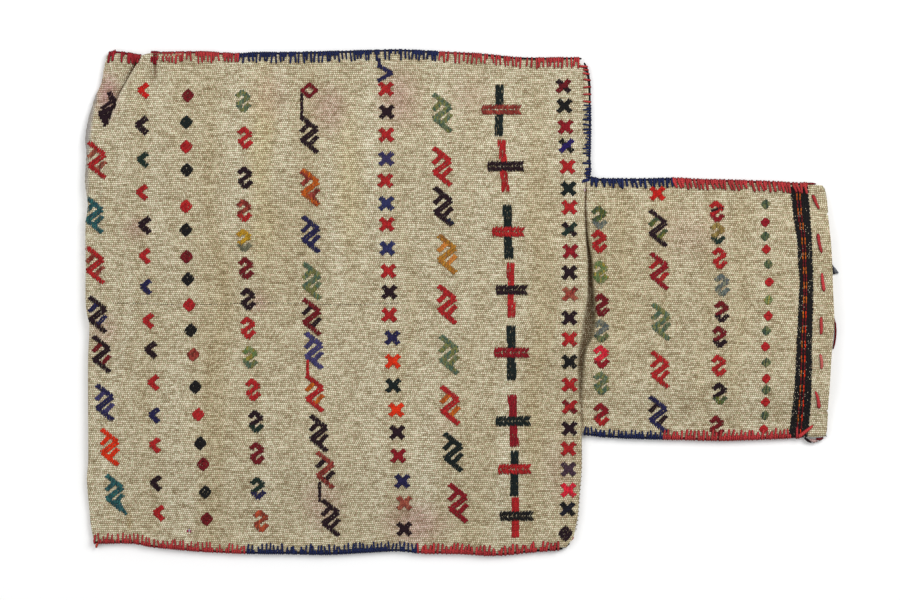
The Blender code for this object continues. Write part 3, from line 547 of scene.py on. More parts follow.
def cloth_material():
    s = Shader("wool_weave")
    uv = s.node("ShaderNodeUVMap", {"uv_map": "weave"}).outputs[0]
    place = s.node("ShaderNodeTexCoord").outputs["Object"]
    along, across, _ = s.split(uv)
    wobble = s.stretched(uv, (40.0, 40.0, 1.0))
    row_place = s.math("DIVIDE", s.times_add(wobble, RIB * 2.2, across), RIB)
    row = s.math("FLOOR", row_place)
    shift = s.times_add(s.white(row, 0.0), 0.5, s.times(row, 0.5))
    knot_place = s.math("ADD", s.math("DIVIDE", s.times_add(wobble, KNOT, along), KNOT), shift)
    knot = s.math("FLOOR", knot_place)
    ribs, knots = (s.math("ABSOLUTE", s.math("SINE", s.times(p, math.pi))) for p in (row_place, knot_place))
    dot = s.times(s.math("POWER", ribs, 0.7), s.times_add(knots, 0.85, 0.15))
    own = s.white(knot, row)
    streak = s.noise(s.joined(s.times(along, 70.0), s.times(row, 5.37)), 1.0, 1.0)
    fleck = s.stretched(uv, (900.0, 900.0, 1.0), 2.0, 0.7)
    band = s.stretched(uv, (30.0, 1.6, 1.0), 2.0, 0.6)
    cloud = s.stretched(place, (14.0, 14.0, 14.0), 3.0, 0.6)
    tinge = s.stretched(uv, (420.0, 420.0, 1.0), 1.0)
    tone = s.times(dot, 0.6)
    for part, share in ((own, 0.26), (streak, 0.5), (fleck, 0.42)):
        tone = s.times_add(part, share, tone)
    colour = s.mix(s.ramp(tone, 0.48, 0.9), (0.36, 0.28, 0.18), (0.715, 0.665, 0.54))
    colour = s.mix(s.ramp(tone, 0.9, 1.2), colour, (0.96, 0.945, 0.86))
    for source, *reach, tint in ((tinge, 0.52, 0.68, 0.0, 0.5, (0.96, 0.85, 0.84)),
                                 (tinge, 0.32, 0.48, 0.5, 0.0, (0.88, 0.94, 0.86)),
                                 (band, 0.3, 0.7, 0.0, 0.6, (0.88, 0.84, 0.76))):
        colour = s.mix(s.ramp(source, *reach), colour, tint, "MULTIPLY")
    for tint, (x, y, width, height, strength) in ((tint, spot) for tint, spots in STAINS_AND_PAINTED_SHADE for spot in spots):
        centre = at(x, y)
        local = s.node("ShaderNodeMapping", {"vector_type": "TEXTURE"}, Vector=place,
                       Location=(centre.x, centre.y, 0.0), Scale=(width * MM, height * MM, 1.0)).outputs[0]
        reach = s.node("ShaderNodeVectorMath", {"operation": "LENGTH"}, Vector=local).outputs["Value"]
        reach = s.times_add(cloud, 1.2, s.math("SUBTRACT", reach, 0.6))
        # the grey painted shade of the fold's rounded edge is mixed in flat; the other spots multiply the colour
        kind = "MIX" if tint is FOLD_SHADE_GREY else "MULTIPLY"
        colour = s.mix(s.ramp(reach, 0.3, 1.15, strength, 0.0), colour, tint, kind)
    shade = s.attribute("shade", "Fac")
    shade = s.times_add(s.math("SUBTRACT", tone, 0.9), s.times(shade, -1.1), shade)
    colour = s.mix(s.ramp(shade, 0.0, 1.0, 0.0, 0.97), colour, (0.28, 0.19, 0.1))
    colour = s.mix(s.ramp(shade, -1.0, 0.0, 0.8, 0.0), colour, (0.97, 0.94, 0.86))
    return s.finish(colour, 0.92, 0.12, s.times_add(fleck, 0.5, dot), 0.8, 0.0006)


def yarn_material(name):
    """Wool yarn in the colour of its attribute, with plies that wind round each stitch, and painted shade on the
    sides of the yarn that turn away from above.
    """
    s = Shader(name)
    tint = s.attribute("yarn", "Color")
    along, around, _ = s.split(s.attribute("ply", "Vector"))
    wind = s.times_add(along, 16.0, s.times(around, 7.0))
    twist = s.times_add(s.math("SINE", wind), 0.5, 0.5)
    fibre = s.noise(s.node("ShaderNodeTexCoord").outputs["Object"], 1500.0, 2.0, 0.7)
    shade = s.math("ADD", s.times(twist, 0.35), s.times(fibre, 0.9))
    dark = s.mix(1.0, tint, (0.6, 0.58, 0.58), "MULTIPLY")
    light = s.mix(0.012, tint, (0.86, 0.8, 0.76))
    wool = s.mix(s.ramp(shade, 0.3, 0.95), dark, light)
    # Painted shade: the sides of the yarn that turn away from above are darkened
    facing = s.split(s.node("ShaderNodeNewGeometry").outputs["Normal"])[2]
    wool = s.mix(s.ramp(facing, 0.15, 0.85, 0.72, 0.0), wool, s.mix(1.0, wool, (0.42, 0.4, 0.4), "MULTIPLY"))
    return s.finish(wool, 0.88, 0.15, shade, 0.7, 0.0004)


weave = cloth_material()
coloured = yarn_material("coloured_yarn")

# %% Cloth
raw = add("woven_cloth_sheet", cloth_mesh("woven_cloth_sheet"), weave)
wall = raw.modifiers.new("thickness", "SOLIDIFY")
wall.thickness = CLOTH * MM
wall.offset = 0
wall.use_even_offset = False
wall.use_rim = True
cloth = settled(raw)
tree = BVHTree.FromObject(cloth, bpy.context.evaluated_depsgraph_get())


def on_cloth(x, y):
    """Point and normal of the cloth's upper face where the camera sees a plan point, or None beside it."""
    hit = tree.ray_cast(EYE, (at(x, y) - EYE).normalized())
    return None if hit[0] is None else hit[:2]


# %% [markdown]
# ## Motifs
# Each motif is drawn as strokes, and each stroke is worked in short stitches of yarn.
# %% Colours of the yarns, as sRGB
RED, DARK_RED, CRIMSON = (0.74, 0.14, 0.15), (0.48, 0.08, 0.12), (0.6, 0.08, 0.14)
BRICK, TERRACOTTA = ((0.66, 0.28, 0.23), (0.54, 0.19, 0.16)), ((0.72, 0.4, 0.31), (0.62, 0.3, 0.24))
ORANGE_RED, HOT, SCARLET = (0.96, 0.21, 0.04), (0.92, 0.15, 0.24), (0.84, 0.13, 0.1)
ORANGE = ((0.84, 0.43, 0.1), (0.76, 0.35, 0.11))
PURPLE, VIOLET, BLUE_VIOLET = (0.15, 0.06, 0.11), (0.23, 0.21, 0.38), (0.28, 0.26, 0.46)
NAVY, BLUE, TEAL = (0.15, 0.14, 0.32), (0.19, 0.21, 0.4), ((0.2, 0.43, 0.43), (0.15, 0.34, 0.37))
BLACK, BLACK_GREEN, DARK_GREEN = (0.08, 0.08, 0.09), (0.07, 0.13, 0.13), (0.11, 0.2, 0.17)
SAGE = ((0.46, 0.51, 0.38), (0.52, 0.53, 0.3), (0.34, 0.44, 0.36))
GREEN = ((0.46, 0.47, 0.2), (0.34, 0.41, 0.22), (0.3, 0.36, 0.26))
MOSS = ((0.36, 0.42, 0.28), (0.25, 0.32, 0.27), (0.52, 0.52, 0.34))
YELLOW_GREEN = ((0.54, 0.58, 0.38), (0.42, 0.52, 0.3), (0.66, 0.6, 0.26))
OCHRE, YELLOW = ((0.78, 0.54, 0.18), (0.7, 0.46, 0.18)), (0.8, 0.62, 0.16)
STONE = ((0.52, 0.51, 0.41), (0.44, 0.44, 0.35))
MUSTARD = ((0.64, 0.53, 0.28), (0.54, 0.45, 0.24), (0.7, 0.6, 0.34))
RUST = ((0.78, 0.34, 0.2), (0.62, 0.26, 0.18))
GREY_BLUE = ((0.46, 0.49, 0.47), (0.38, 0.42, 0.42), (0.56, 0.56, 0.48))
CREAM, CORAL = (0.86, 0.81, 0.7), (0.86, 0.44, 0.4)
SEAM_RED, TUCK_RED, SEAM_NAVY = (0.8, 0.25, 0.26), (0.68, 0.15, 0.19), (0.12, 0.17, 0.36)
WOUND_RED, WOUND_NAVY, CORE = (0.5, 0.1, 0.13), (0.1, 0.11, 0.22), (0.1, 0.07, 0.08)
DOTTED_PICK, DARK_SLATE, SLATE = (0.3, 0.24, 0.17), (0.26, 0.27, 0.3), (0.5, 0.52, 0.56)

# %% Drawings of the motifs: strokes from point to point, each with its width
ZIGZAG = (
    ((-7.4, -17.4), (6.6, -6.4), 4.6), ((6.8, -5), (-6.8, 5.4), 5.5), ((-6.4, 5.8), (7.6, 17.3), 4.6),
    ((-1.4, -9.6), (-7.6, -3.4), 4.5), ((1.2, 9), (7.8, 2), 4.5))
HOOKS = (
    ((-5.4, -4.9), (-1.2, -9), 4.7), ((-1.4, -9.2), (5, -3.8), 4.8), ((4.8, -3), (-4.6, 3.2), 4.9),
    ((-4.6, 3.8), (0, 9.4), 4.8), ((0.6, 9.4), (5.7, 4.2), 4.7))
CHEVRON = (((2.9, -5.9), (-3.9, -0.9), 5), ((-3.9, -0.3), (2.9, 6), 5))
STAR = (((-5.5, -5.3), (5.5, 5.3), 4.7), ((-5.5, 5.3), (5.5, -5.3), 4.7), ((-3.2, 0), (3.2, 0), 5.4))
LOZENGE = tuple(((x, -half), (x, half), 1.6) for x, half in (
    (-5.2, 1.7), (-3.9, 3.3), (-2.6, 4.6), (-1.3, 5.7), (0, 6.6), (1.3, 5.8), (2.6, 4.6), (3.9, 3.3), (5.2, 1.7)))
RING_TIPS = ((0, -6.6), (6.6, 0), (0, 6.6), (-6.6, 0))
RING = [(tip, following, 4.2) for tip, following in zip(RING_TIPS, RING_TIPS[1:] + RING_TIPS[:1])]

# Length, width and height of the usual stitch, and how it is laid
STITCH = (4.2, 2.0, 1.3)
STITCH_LIFT = 0.18
STEEPEST = 0.25
MOTIF_LEAN = 0.15
COLUMN = 1.5
TIP_SHARE = 0.22
BAR_PITCH = 1.7
PICK_Y = 303.9

# Parts of the cloth, each with the x where it ends
PARTS = {"pocket_left": 265, "pocket_middle": 470, "pocket_right": 588, "neck": 900}
stitches = {name: [] for name in PARTS}


def shaded(colour, amount=0.26):
    """A colour, or one of several colours, a little lighter or darker by chance."""
    if isinstance(colour[0], tuple):
        colour = chance.choice(colour)
    tint = chance.uniform(1 - amount, 1 + amount)
    return tuple(min(c * tint * chance.uniform(0.94, 1.06), 1.0) for c in linear(colour))


def stitch(x, y, angle, colour, length=1.0, width=1.0, height=1.0, lift=0.0):
    """One stitch: its middle on the plan, its direction, its colour and its size against the usual one."""
    found = on_cloth(x, y)
    if found is None:
        return
    place, normal = found
    if normal.z < STEEPEST:
        return
    direction = Vector((math.cos(angle), -math.sin(angle), 0))
    direction = (direction - normal * direction.dot(normal)).normalized()
    side = normal.cross(direction)
    turn = Matrix((direction, side, normal)).transposed().to_euler()
    size = [usual * share * MM for usual, share in zip(STITCH, (length, width, height))]
    part = next(name for name, right in PARTS.items() if x < right)
    stitches[part].append((place + normal * (STITCH_LIFT + lift) * MM, turn, size, (*shaded(colour), 1.0)))


def span(corners, x):
    """The y values where an upright line meets the outline through the corners, or None."""
    met = []
    for (ax, ay), (bx, by) in zip(corners, corners[1:] + corners[:1]):
        if min(ax, bx) <= x < max(ax, bx):
            met.append(ay + (by - ay) * (x - ax) / (bx - ax))
    return (min(met), max(met)) if len(met) > 1 else None


def stroke(start, end, colour, width=4.0, lean=0.12, long=4.0, overlap=1.1):
    """A stroke filled with upright stitches side by side."""
    start, end = Vector(start), Vector(end)
    run = (end - start).normalized()
    across = Vector((-run.y, run.x)) * (width / 2)
    past = run * width * TIP_SHARE
    corners = [tuple(tip) for tip in (start - past + across, start - past - across,
                                      end + past - across, end + past + across)]
    left, right = min(c[0] for c in corners), max(c[0] for c in corners)
    columns = max(1, round((right - left) / COLUMN))
    for i in range(columns):
        x = left + (right - left) * (i + 0.5) / columns
        found = span(corners, x)
        if found is None:
            continue
        top, bottom = found
        count = max(1, round((bottom - top) / long))
        tall = (bottom - top) / count
        for j in range(count):
            stitch(x + jitter(0.2), top + tall * (j + 0.5) + jitter(0.3), math.pi / 2 + lean + jitter(0.15), colour,
                   max(tall + overlap, 2.4) / STITCH[0], chance.uniform(0.9, 1.1))


def motif(drawing, x, y, colour=RED, second=None, scale=1.0):
    """A motif at a place on the plan, red as a rule; the second colour is for its last strokes."""
    for i, (start, end, width) in enumerate(drawing):
        tint = second if second and i >= len(drawing) - 2 else colour
        ends = [(x + px * scale, y + py * scale) for px, py in (start, end)]
        stroke(*ends, tint, width * scale, MOTIF_LEAN)


# %% Rows of motifs: x, y, and where it is not plain red a colour, a second colour and a scale
ROW_A = (
    (95.2, 159.5, RED, TERRACOTTA), (92.3, 214.4, TEAL), (93.3, 265, RED, BRICK), (95.8, 314.6, PURPLE, NAVY),
    (99.8, 354.5, PURPLE, DARK_RED), (103, 403, NAVY, BLUE_VIOLET), (108, 448, ORANGE_RED), (113, 494, TEAL))
ROW_B = (
    (142.5, 89.5, SCARLET), (141, 124.6, PURPLE, None, 1.18), (142, 159, DARK_GREEN), (141, 192),
    (144, 225, PURPLE, None, 1.14), (144, 256), (145, 287, NAVY), (147.5, 321), (150, 350, PURPLE, None, 1.1),
    (152.5, 383), (153.5, 416, NAVY), (154, 446), (155, 484, PURPLE), (158, 514))
ROW_C = (
    (186.7, 94.6, DARK_RED), (185, 121.4, BLACK_GREEN), (185, 146), (185.6, 169.5, BLACK), (184.7, 206),
    (184.6, 229.6, BLACK), (185.3, 256.6, DARK_RED), (186.6, 279, BLACK), (188, 305), (189.5, 330.4, BLACK),
    (192, 355, BRICK), (194, 387.5, BLACK), (197, 415), (199, 444, BLACK), (202, 465, DARK_RED),
    (204, 493, BLACK), (205.5, 520, DARK_RED))
ROW_D = (
    (242, 100, SAGE), (244, 137), (244, 177, PURPLE), (243, 210, BRICK, RED), (243, 240, YELLOW, STONE),
    (245, 268, DARK_RED), (247, 299, PURPLE), (247, 328), (249, 357.5, YELLOW_GREEN, SAGE), (252, 390),
    (255, 422, PURPLE, DARK_GREEN), (256, 454, DARK_RED), (257, 489, DARK_GREEN, NAVY), (260, 522, RUST))
ROW_E = (
    (308.5, 134, PURPLE), (309.5, 187, ORANGE, BRICK), (310, 234, NAVY), (311, 281, SAGE),
    (311, 317, DARK_RED, PURPLE), (313, 351, BLUE_VIOLET), (314, 394, RED, ORANGE), (318, 434, PURPLE),
    (324.5, 471, BRICK, PURPLE), (330, 519, PURPLE))
STEMS = ((301, 93, 117, PURPLE), (307, 361, 378, RED), (319, 483, 502, PURPLE))
ROW_F = (
    (385.5, 88), (386.5, 111, PURPLE), (386, 134), (386, 158, VIOLET), (385, 180), (386, 203, BLUE),
    (386.5, 224), (387, 248, BLUE), (388, 271), (389, 292, PURPLE), (389, 315), (392, 338, NAVY),
    (392.5, 361.5, ORANGE_RED), (393, 386, BLACK_GREEN), (396, 410.5, ORANGE_RED), (397, 433, PURPLE),
    (398, 456.5, CRIMSON), (402, 482, NAVY), (404, 504, TERRACOTTA), (404, 530, PURPLE))
ROW_G = (
    (442, 112, SAGE), (442, 166), (443, 206, PURPLE), (447, 254, OCHRE, (0.88, 0.56, 0.24)), (447, 304.5),
    (449, 355, SAGE), (450, 406, RED, ORANGE), (453, 453, BLACK_GREEN), (458, 504, CRIMSON))
ROW_I = (
    (564, 85, PURPLE, DARK_RED), (565, 105, BLACK), (566, 126, CRIMSON), (567, 145, BLACK, (0.16, 0.1, 0.42)),
    (568, 166), (569, 188, BLACK_GREEN), (570, 207), (570, 229, PURPLE, DARK_GREEN), (571, 251, CRIMSON),
    (570, 272.5, PURPLE), (570.6, 294, TERRACOTTA, BRICK), (570, 318, PURPLE), (570, 339.4), (570, 362, BLACK),
    (570, 385), (570.2, 407.3, DARK_RED, RED), (570, 429, PURPLE), (569, 449.5), (569, 470, (0.3, 0.21, 0.27)),
    (569, 491, HOT), (568, 510, BLACK, (0.09, 0.1, 0.16)))
ROW_J = (
    (600, 217, GREEN, GREY_BLUE), (600, 241), (601, 272, YELLOW_GREEN), (602, 305, DARK_RED),
    (602, 331, GREY_BLUE, MOSS), (602, 357, HOT, CRIMSON), (602, 383.5, SAGE), (602, 415, CRIMSON, RED))
ROW_K = (
    (659, 228, PURPLE, GREEN), (660, 271, CRIMSON, RED), (662, 322, SAGE), (661, 370), (659, 415, NAVY, PURPLE))
ROW_L = (
    (718, 211, RED, CRIMSON), (719, 233, MUSTARD, DARK_GREEN), (721, 258), (723, 311.5, DARK_RED, PURPLE),
    (721, 337, DARK_RED, PURPLE), (720, 366), (721, 394, PURPLE, GREEN), (718, 427, DARK_RED))
ROW_M = (
    (767.3, 204, MOSS), (766.8, 222, CRIMSON), (766.8, 236, MOSS), (767.8, 249), (769.8, 264, MOSS),
    (770.8, 282), (769.8, 300, YELLOW_GREEN), (769.8, 316), (767.8, 331, MOSS), (766.8, 347),
    (767.8, 363, MOSS), (767.8, 379), (767.7, 390.2, MOSS), (767, 402.5), (766.3, 416, MOSS), (765, 430))

# %% Crosses: the ends of the bar and its height, the two tips of the upright and its width, and the colours
CROSSES = (
    (481.8, 520.7, 108.8, (499.8, 84.5), (499.2, 134.5), 7.6, BLACK_GREEN, BRICK),
    (488, 523.8, 165.6, (501.6, 140), (506, 190.5), 6.9, RED, PURPLE),
    (492.5, 524.2, 231.5, (507.3, 205.5), (509.2, 257.5), 8.4, BLACK_GREEN, RED),
    (496.3, 527.1, 290, (510.6, 263.4), (512, 316.7), 7, RED, PURPLE),
    (494.4, 529, 352.9, (511.4, 327), (511.9, 379.4), 8.6, BLACK_GREEN, CRIMSON),
    (496, 530.4, 421.7, (512.1, 395.9), (514.8, 446.6), 7.8, CRIMSON, BLACK_GREEN),
    (498.6, 530.7, 469.9, (514.8, 452.3), (514.6, 496.3), 7.4, BLACK_GREEN, RED),
    (500.2, 533, 516.9, (515.8, 499), (515.7, 538), 6.8, RED, BLACK))

# %% Single motifs and strokes: the two ends and the width of each
TUCK_MOTIF = (
    ((108, 92), (110.5, 97), 5), ((110, 97), (116, 104), 5.5), ((109, 101), (100.5, 107.5), 3.6),
    ((115, 105), (98.8, 112.6), 5.4), ((99, 113), (105.4, 128), 4.2), ((102, 116.5), (110, 112.5), 4.5),
    ((102.6, 119), (108.4, 115.5), 5), ((104.6, 123), (106.6, 120), 4))
TOP_MOTIF = (((379, 57), (378.6, 64), 3), ((378.4, 64.5), (390.6, 71.4), 4.2), ((391, 72), (378.8, 79.4), 4.4))
PALE_SPOTS = (
    (186.4, 532, (0.72, 0.12, 0.3)), (188, 531.4, (0.8, 0.72, 0.84)), (189.6, 532.4, (0.66, 0.16, 0.34)))
STRAY_STROKES = (
    ((583.6, 180.4), (592.6, 178.6), SEAM_NAVY, 3.2), ((587.4, 172), (591.4, 177.6), SEAM_NAVY, 4.2),
    ((714, 211), (723, 207), PURPLE, 4), ((301, 171), (306, 175.5), BRICK, 4.4),
    ((309.5, 193.5), (316.5, 203.5), BRICK, 5), ((448.5, 219.5), (452, 223.5), (0.08, 0.14, 0.24), 4.4))


def cross(left, right, y, top, bottom, wide, upright, bar):
    """Two parallel cords above and below a bar of slanting stitches that meet in its middle."""
    for (tip_x, tip_y), side_y in ((top, -4), (bottom, 4)):
        near = blend(top[0], bottom[0], (y - top[1]) / (bottom[1] - top[1]))
        for side in (-1, 1):
            stroke((tip_x + side * (wide / 4 + 0.2), tip_y - side_y * 0.1), (near + side * wide / 5, y + side_y),
                   upright, wide / 2 + 0.1, 0.04, 6, 2.6)
    count = round((right - left) / BAR_PITCH)
    for i in range(count):
        x = left + (i + 0.5) * (right - left) / count
        for side in (-1, 1):
            stitch(x + jitter(0.3), y + side * 2.5 + jitter(0.4), side * (1.0 if i % 5 else 1.3), bar,
                   1.6 + chance.uniform(-0.1, 0.15), 0.95, lift=0.25)


for row, drawing, settings in (
        (ROW_A, ZIGZAG, {}), (ROW_B, CHEVRON, {}), (ROW_C, LOZENGE, {}), (ROW_D, HOOKS, {}),
        (ROW_E, ZIGZAG, {}), (ROW_F, STAR, {}), (ROW_G, ZIGZAG, {"scale": 1.05}), (ROW_I, STAR, {}),
        (ROW_J, HOOKS, {"scale": 1.03}), (ROW_K, ZIGZAG, {}), (ROW_L, HOOKS, {"scale": 0.98}),
        (ROW_M, LOZENGE, {"scale": 0.7})):
    for entry in row:
        motif(drawing, *entry, **settings)
for entry in CROSSES:
    cross(*entry)
for place in range(112, 400, 2):
    if chance.random() < 0.8:
        stitch(place + jitter(0.4), PICK_Y + 0.9 * math.sin(place / 24), 0.0, DOTTED_PICK, 0.26, 0.5, 0.4)
for x, top, bottom, colour in STEMS:
    stroke((x, top), (x, bottom), colour, 3.0)
first = len(stitches["pocket_left"])
for start, end, width in TUCK_MOTIF:
    stroke(start, end, PURPLE, width)
stitches["pocket_left"][first:] = [
    entry for entry in stitches["pocket_left"][first:]
    if entry[0].x / MM + PLAN_ORIGIN[0] < read(TUCK_RIDGE, PLAN_ORIGIN[1] - entry[0].y / MM) - 0.4]
stroke((117, 503), (124.5, 515), TEAL, 2.6)
motif(RING, 308.5, 89.5, DARK_RED)
for start, end, width in TOP_MOTIF:
    stroke(start, end, NAVY, width)
motif(STAR, 658.5, 193, SCARLET)
motif(HOOKS, 723.3, 285, GREY_BLUE)
for x, y, colour in PALE_SPOTS:
    stitch(x, y, math.pi / 2 + 0.2, colour, 0.8, 0.8)
stitch(585.4, 189.6, math.pi / 2, (0.9, 0.78, 0.82), 0.7, 0.8)
for start, end, colour, width in STRAY_STROKES:
    stroke(start, end, colour, width)
motif(LOZENGE, 566, 534.6, PURPLE, scale=1.16)

# %% Band across the neck
BAND_LEFT = pairs(
    186, 793, 200, 794.6, 215, 796, 237, 799.4, 269, 801.4, 282, 802.4, 340, 799.6, 390, 797, 420, 793.6,
    438, 791)
BAND_RIGHT = pairs(186, 808.4, 219, 811, 237, 812.2, 282, 813.8, 340, 812.8, 390, 812, 420, 810.2, 438, 808)
DASHES = (
    (186, 0.27, 0.5), (219, 0.28, 0.49), (237, 0.32, 0.54), (270, 0.3, 0.5), (300, 0.3, 0.52),
    (390, 0.33, 0.56), (420, 0.36, 0.6), (438, 0.42, 0.62))
BAND_END = 437
BAND_PITCH = 1.9
BAND_COLUMNS = 7
DASH = 7.4
y = 187.5
while y < BAND_END:
    left, right = read(BAND_LEFT, y), read(BAND_RIGHT, y)
    tooth = 1.0 if round(y / BAND_PITCH) % 2 else 0.0
    for i in range(BAND_COLUMNS):
        x = blend(left + 0.9 - tooth, right - 0.9 + tooth, i / (BAND_COLUMNS - 1)) + jitter(0.3)
        pale = ripple(x, y, 13) > 0.0 and chance.random() < 0.3
        stitch(x, y + jitter(0.2), math.pi / 2 + jitter(0.2), BLACK, 0.95, 1.5, 0.9)
        if pale:
            stitch(x, y, math.pi / 2, CREAM, 0.26, 0.5, 0.9, 0.5)
    y += BAND_PITCH
y = 189.0
turn = 0
while y < BAND_END:
    left, right = read(BAND_LEFT, y), read(BAND_RIGHT, y)
    for column in (1, 2):
        share = read([(place[0], place[column]) for place in DASHES], y)
        bright = ORANGE if turn < 2 or y < 300 or column == 1 else ORANGE_RED
        for half in (-0.25, 0.25):
            stitch(blend(left, right, share) + jitter(0.2), y + half * DASH, math.pi / 2 + jitter(0.12),
                   bright if turn % 2 else DARK_RED, 1.0, 0.84, 1.1, lift=0.6)
    y += DASH
    turn += 1


# %% Stitches into yarn, with Geometry Nodes
def stitch_nodes():
    """A group that sets a short length of yarn on each point, turned and sized as its attributes say."""
    group = bpy.data.node_groups.new("yarn_stitches", "GeometryNodeTree")
    for name, kind, usual in (("Geometry", "Geometry", None), ("Sides", "Int", 6), ("Rings", "Int", 4),
                              ("Yarn", "Material", None)):
        socket = group.interface.new_socket(name, in_out="INPUT", socket_type="NodeSocket" + kind)
        if usual:
            socket.default_value = usual
    group.interface.new_socket("Geometry", in_out="OUTPUT", socket_type="NodeSocketGeometry")
    g = Nodes(group)
    vector = {"data_type": "FLOAT_VECTOR"}
    given = g.node("NodeGroupInput").outputs
    ball = g.node("GeometryNodeMeshUVSphere", Segments=given["Sides"], Rings=given["Rings"], Radius=0.5)
    lying = g.node("GeometryNodeTransform", Geometry=ball.outputs["Mesh"], Rotation=(0, math.pi / 2, 0))
    where = g.node("GeometryNodeInputPosition").outputs[0]
    yarn = g.node("GeometryNodeStoreNamedAttribute", vector, Geometry=lying.outputs[0], Name="ply", Value=where)
    turn, size = (g.node("GeometryNodeInputNamedAttribute", vector, Name=name).outputs["Attribute"]
                  for name in ("turn", "size"))
    spread = g.node("GeometryNodeInstanceOnPoints", Points=given["Geometry"], Instance=yarn.outputs[0],
                    Rotation=turn, Scale=size)
    real = g.node("GeometryNodeRealizeInstances", Geometry=spread.outputs[0])
    paint = g.node("GeometryNodeSetMaterial", Geometry=real.outputs[0], Material=given["Yarn"])
    g.node("NodeGroupOutput", Geometry=paint.outputs[0])
    return group


def worked(name, group):
    """A piece with a length of yarn for each stitch of a group."""
    places, turns, sizes, tints = zip(*group)
    piece = add(name, new_mesh(name, places, [], turn=turns, size=sizes, yarn=tints), coloured)
    nodes = piece.modifiers.new("stitches", "NODES")
    nodes.node_group = yarn_group
    values = {"Sides": 6, "Rings": 4, "Yarn": coloured}
    for item in yarn_group.interface.items_tree:
        if item.name in values:
            nodes[item.identifier] = values[item.name]
    return settled(piece)


yarn_group = stitch_nodes()
motifs = [worked("motifs_" + name, group) for name, group in stitches.items()]

# %% [markdown]
# ## Seams, hem stitches and loose yarn
# %% Tubes of yarn
TUBE_END = 0.62


def tubes(name, threads, sides=6):
    """A piece of closed tubes: (points, radius or first and last radius in mm, linear colour) of each."""
    corners, faces, ply, tints = [], [], [], []
    for points, radius, colour in threads:
        first = len(corners)
        last = first + (len(points) - 1) * sides
        thick = radius if isinstance(radius, tuple) else (radius, radius)
        length = 0.0
        side = None
        for i, point in enumerate(points):
            before, after = points[max(i - 1, 0)], points[min(i + 1, len(points) - 1)]
            ahead = (after - before).normalized()
            if side is None:
                side = ahead.orthogonal().normalized()
            side = (side - ahead * side.dot(ahead)).normalized()
            up = ahead.cross(side)
            if i:
                length += (point - points[i - 1]).length / MM
            wide = blend(*thick, i / (len(points) - 1)) * MM * (TUBE_END if i in (0, len(points) - 1) else 1.0)
            for corner in range(sides):
                angle = 2 * math.pi * corner / sides
                corners.append(point + (side * math.cos(angle) + up * math.sin(angle)) * wide)
                ply.append((length / 5, angle / 7, 0.0))
                tints.append((*colour, 1.0))
        for a in range(first, last):
            b = a + 1 if (a + 1 - first) % sides else a + 1 - sides
            faces.append((a, b, b + sides, a + sides))
        faces += [tuple(range(first, first + sides))[::-1], tuple(range(last, last + sides))]
    mesh = new_mesh(name, corners, faces, ply=ply, yarn=tints)
    mesh.shade_smooth()
    return add(name, mesh, coloured)


# %% Overcast seams
EDGE_TOP = FRONT_SEAM + CLOTH / 2
WORKED_SHARE = 0.93
TURN_RADIUS = 0.95


def top_height(x, y):
    """Height in mm of the cloth's upper face, or of the seam where a point is just outside it."""
    found = on_cloth(x, y)
    return found[0].z / MM if found else EDGE_TOP


LINES = {
    "top": (lambda s: (s, read(TOP, s)), (0, 1)),
    "shoulder": (lambda s: (read(ROOT, s), s), (-1, 0)),
    "neck_top": (lambda s: (s, read(NECK_TOP, s)), (0, 1)),
    "neck_bottom": (lambda s: (s, read(NECK_BOTTOM, s)), (0, -1)),
    "bottom": (lambda s: (s, read(BOTTOM, s)), (0, -1)),
}


def whip(line, place, leg, lean, colour, radius):
    """One overcast stitch: a leg on the front, over the edge cord, and a short leg on the back."""
    where, (nx, ny) = LINES[line]
    x, y = where(place)
    tx, ty = abs(ny), abs(nx)

    def plan(depth, sideways=0.0):
        return x + nx * depth + tx * sideways, y + ny * depth + ty * sideways

    tip = top_height(*plan(leg, lean))
    middle = top_height(*plan(leg * 0.5))
    # from its tip on the front, over the cord, to its end on the back
    points = [at(*plan(depth, sideways), height) for depth, sideways, height in (
        (leg, lean, tip - 0.3), (leg * 0.85, lean * 0.85, tip + radius * 0.55),
        (leg * 0.5, lean * 0.5, middle + radius * 0.7), (0.8, 0, EDGE_TOP + radius * 0.75),
        (-1.2, 0, EDGE_TOP - 0.2), (-2.2, 0, 3.8), (-1.2, 0, 1.3), (0.8, 0, 0.75), (5.5, -lean * 0.4, 0.7))]
    return points, radius, shaded(colour, 0.2)


def overcast(line, start, end, colour, legs, pitch=4.1, cover=0.75, lean=0.0, radius=1.0):
    """Stitches from one place to another along a line, with smaller turns round the cord between them."""
    threads = []
    place = start
    while place < end:
        if chance.random() < WORKED_SHARE:
            threads.append(whip(line, place, chance.uniform(*legs), lean + jitter(1.3), colour,
                                radius * chance.uniform(0.85, 1.15)))
        between = place + pitch * 0.5
        if chance.random() < cover and between < end:
            threads.append(whip(line, between, chance.uniform(1.4, 2.6), jitter(0.5), colour, TURN_RADIUS))
        place += pitch * chance.uniform(0.82, 1.18)
    return threads


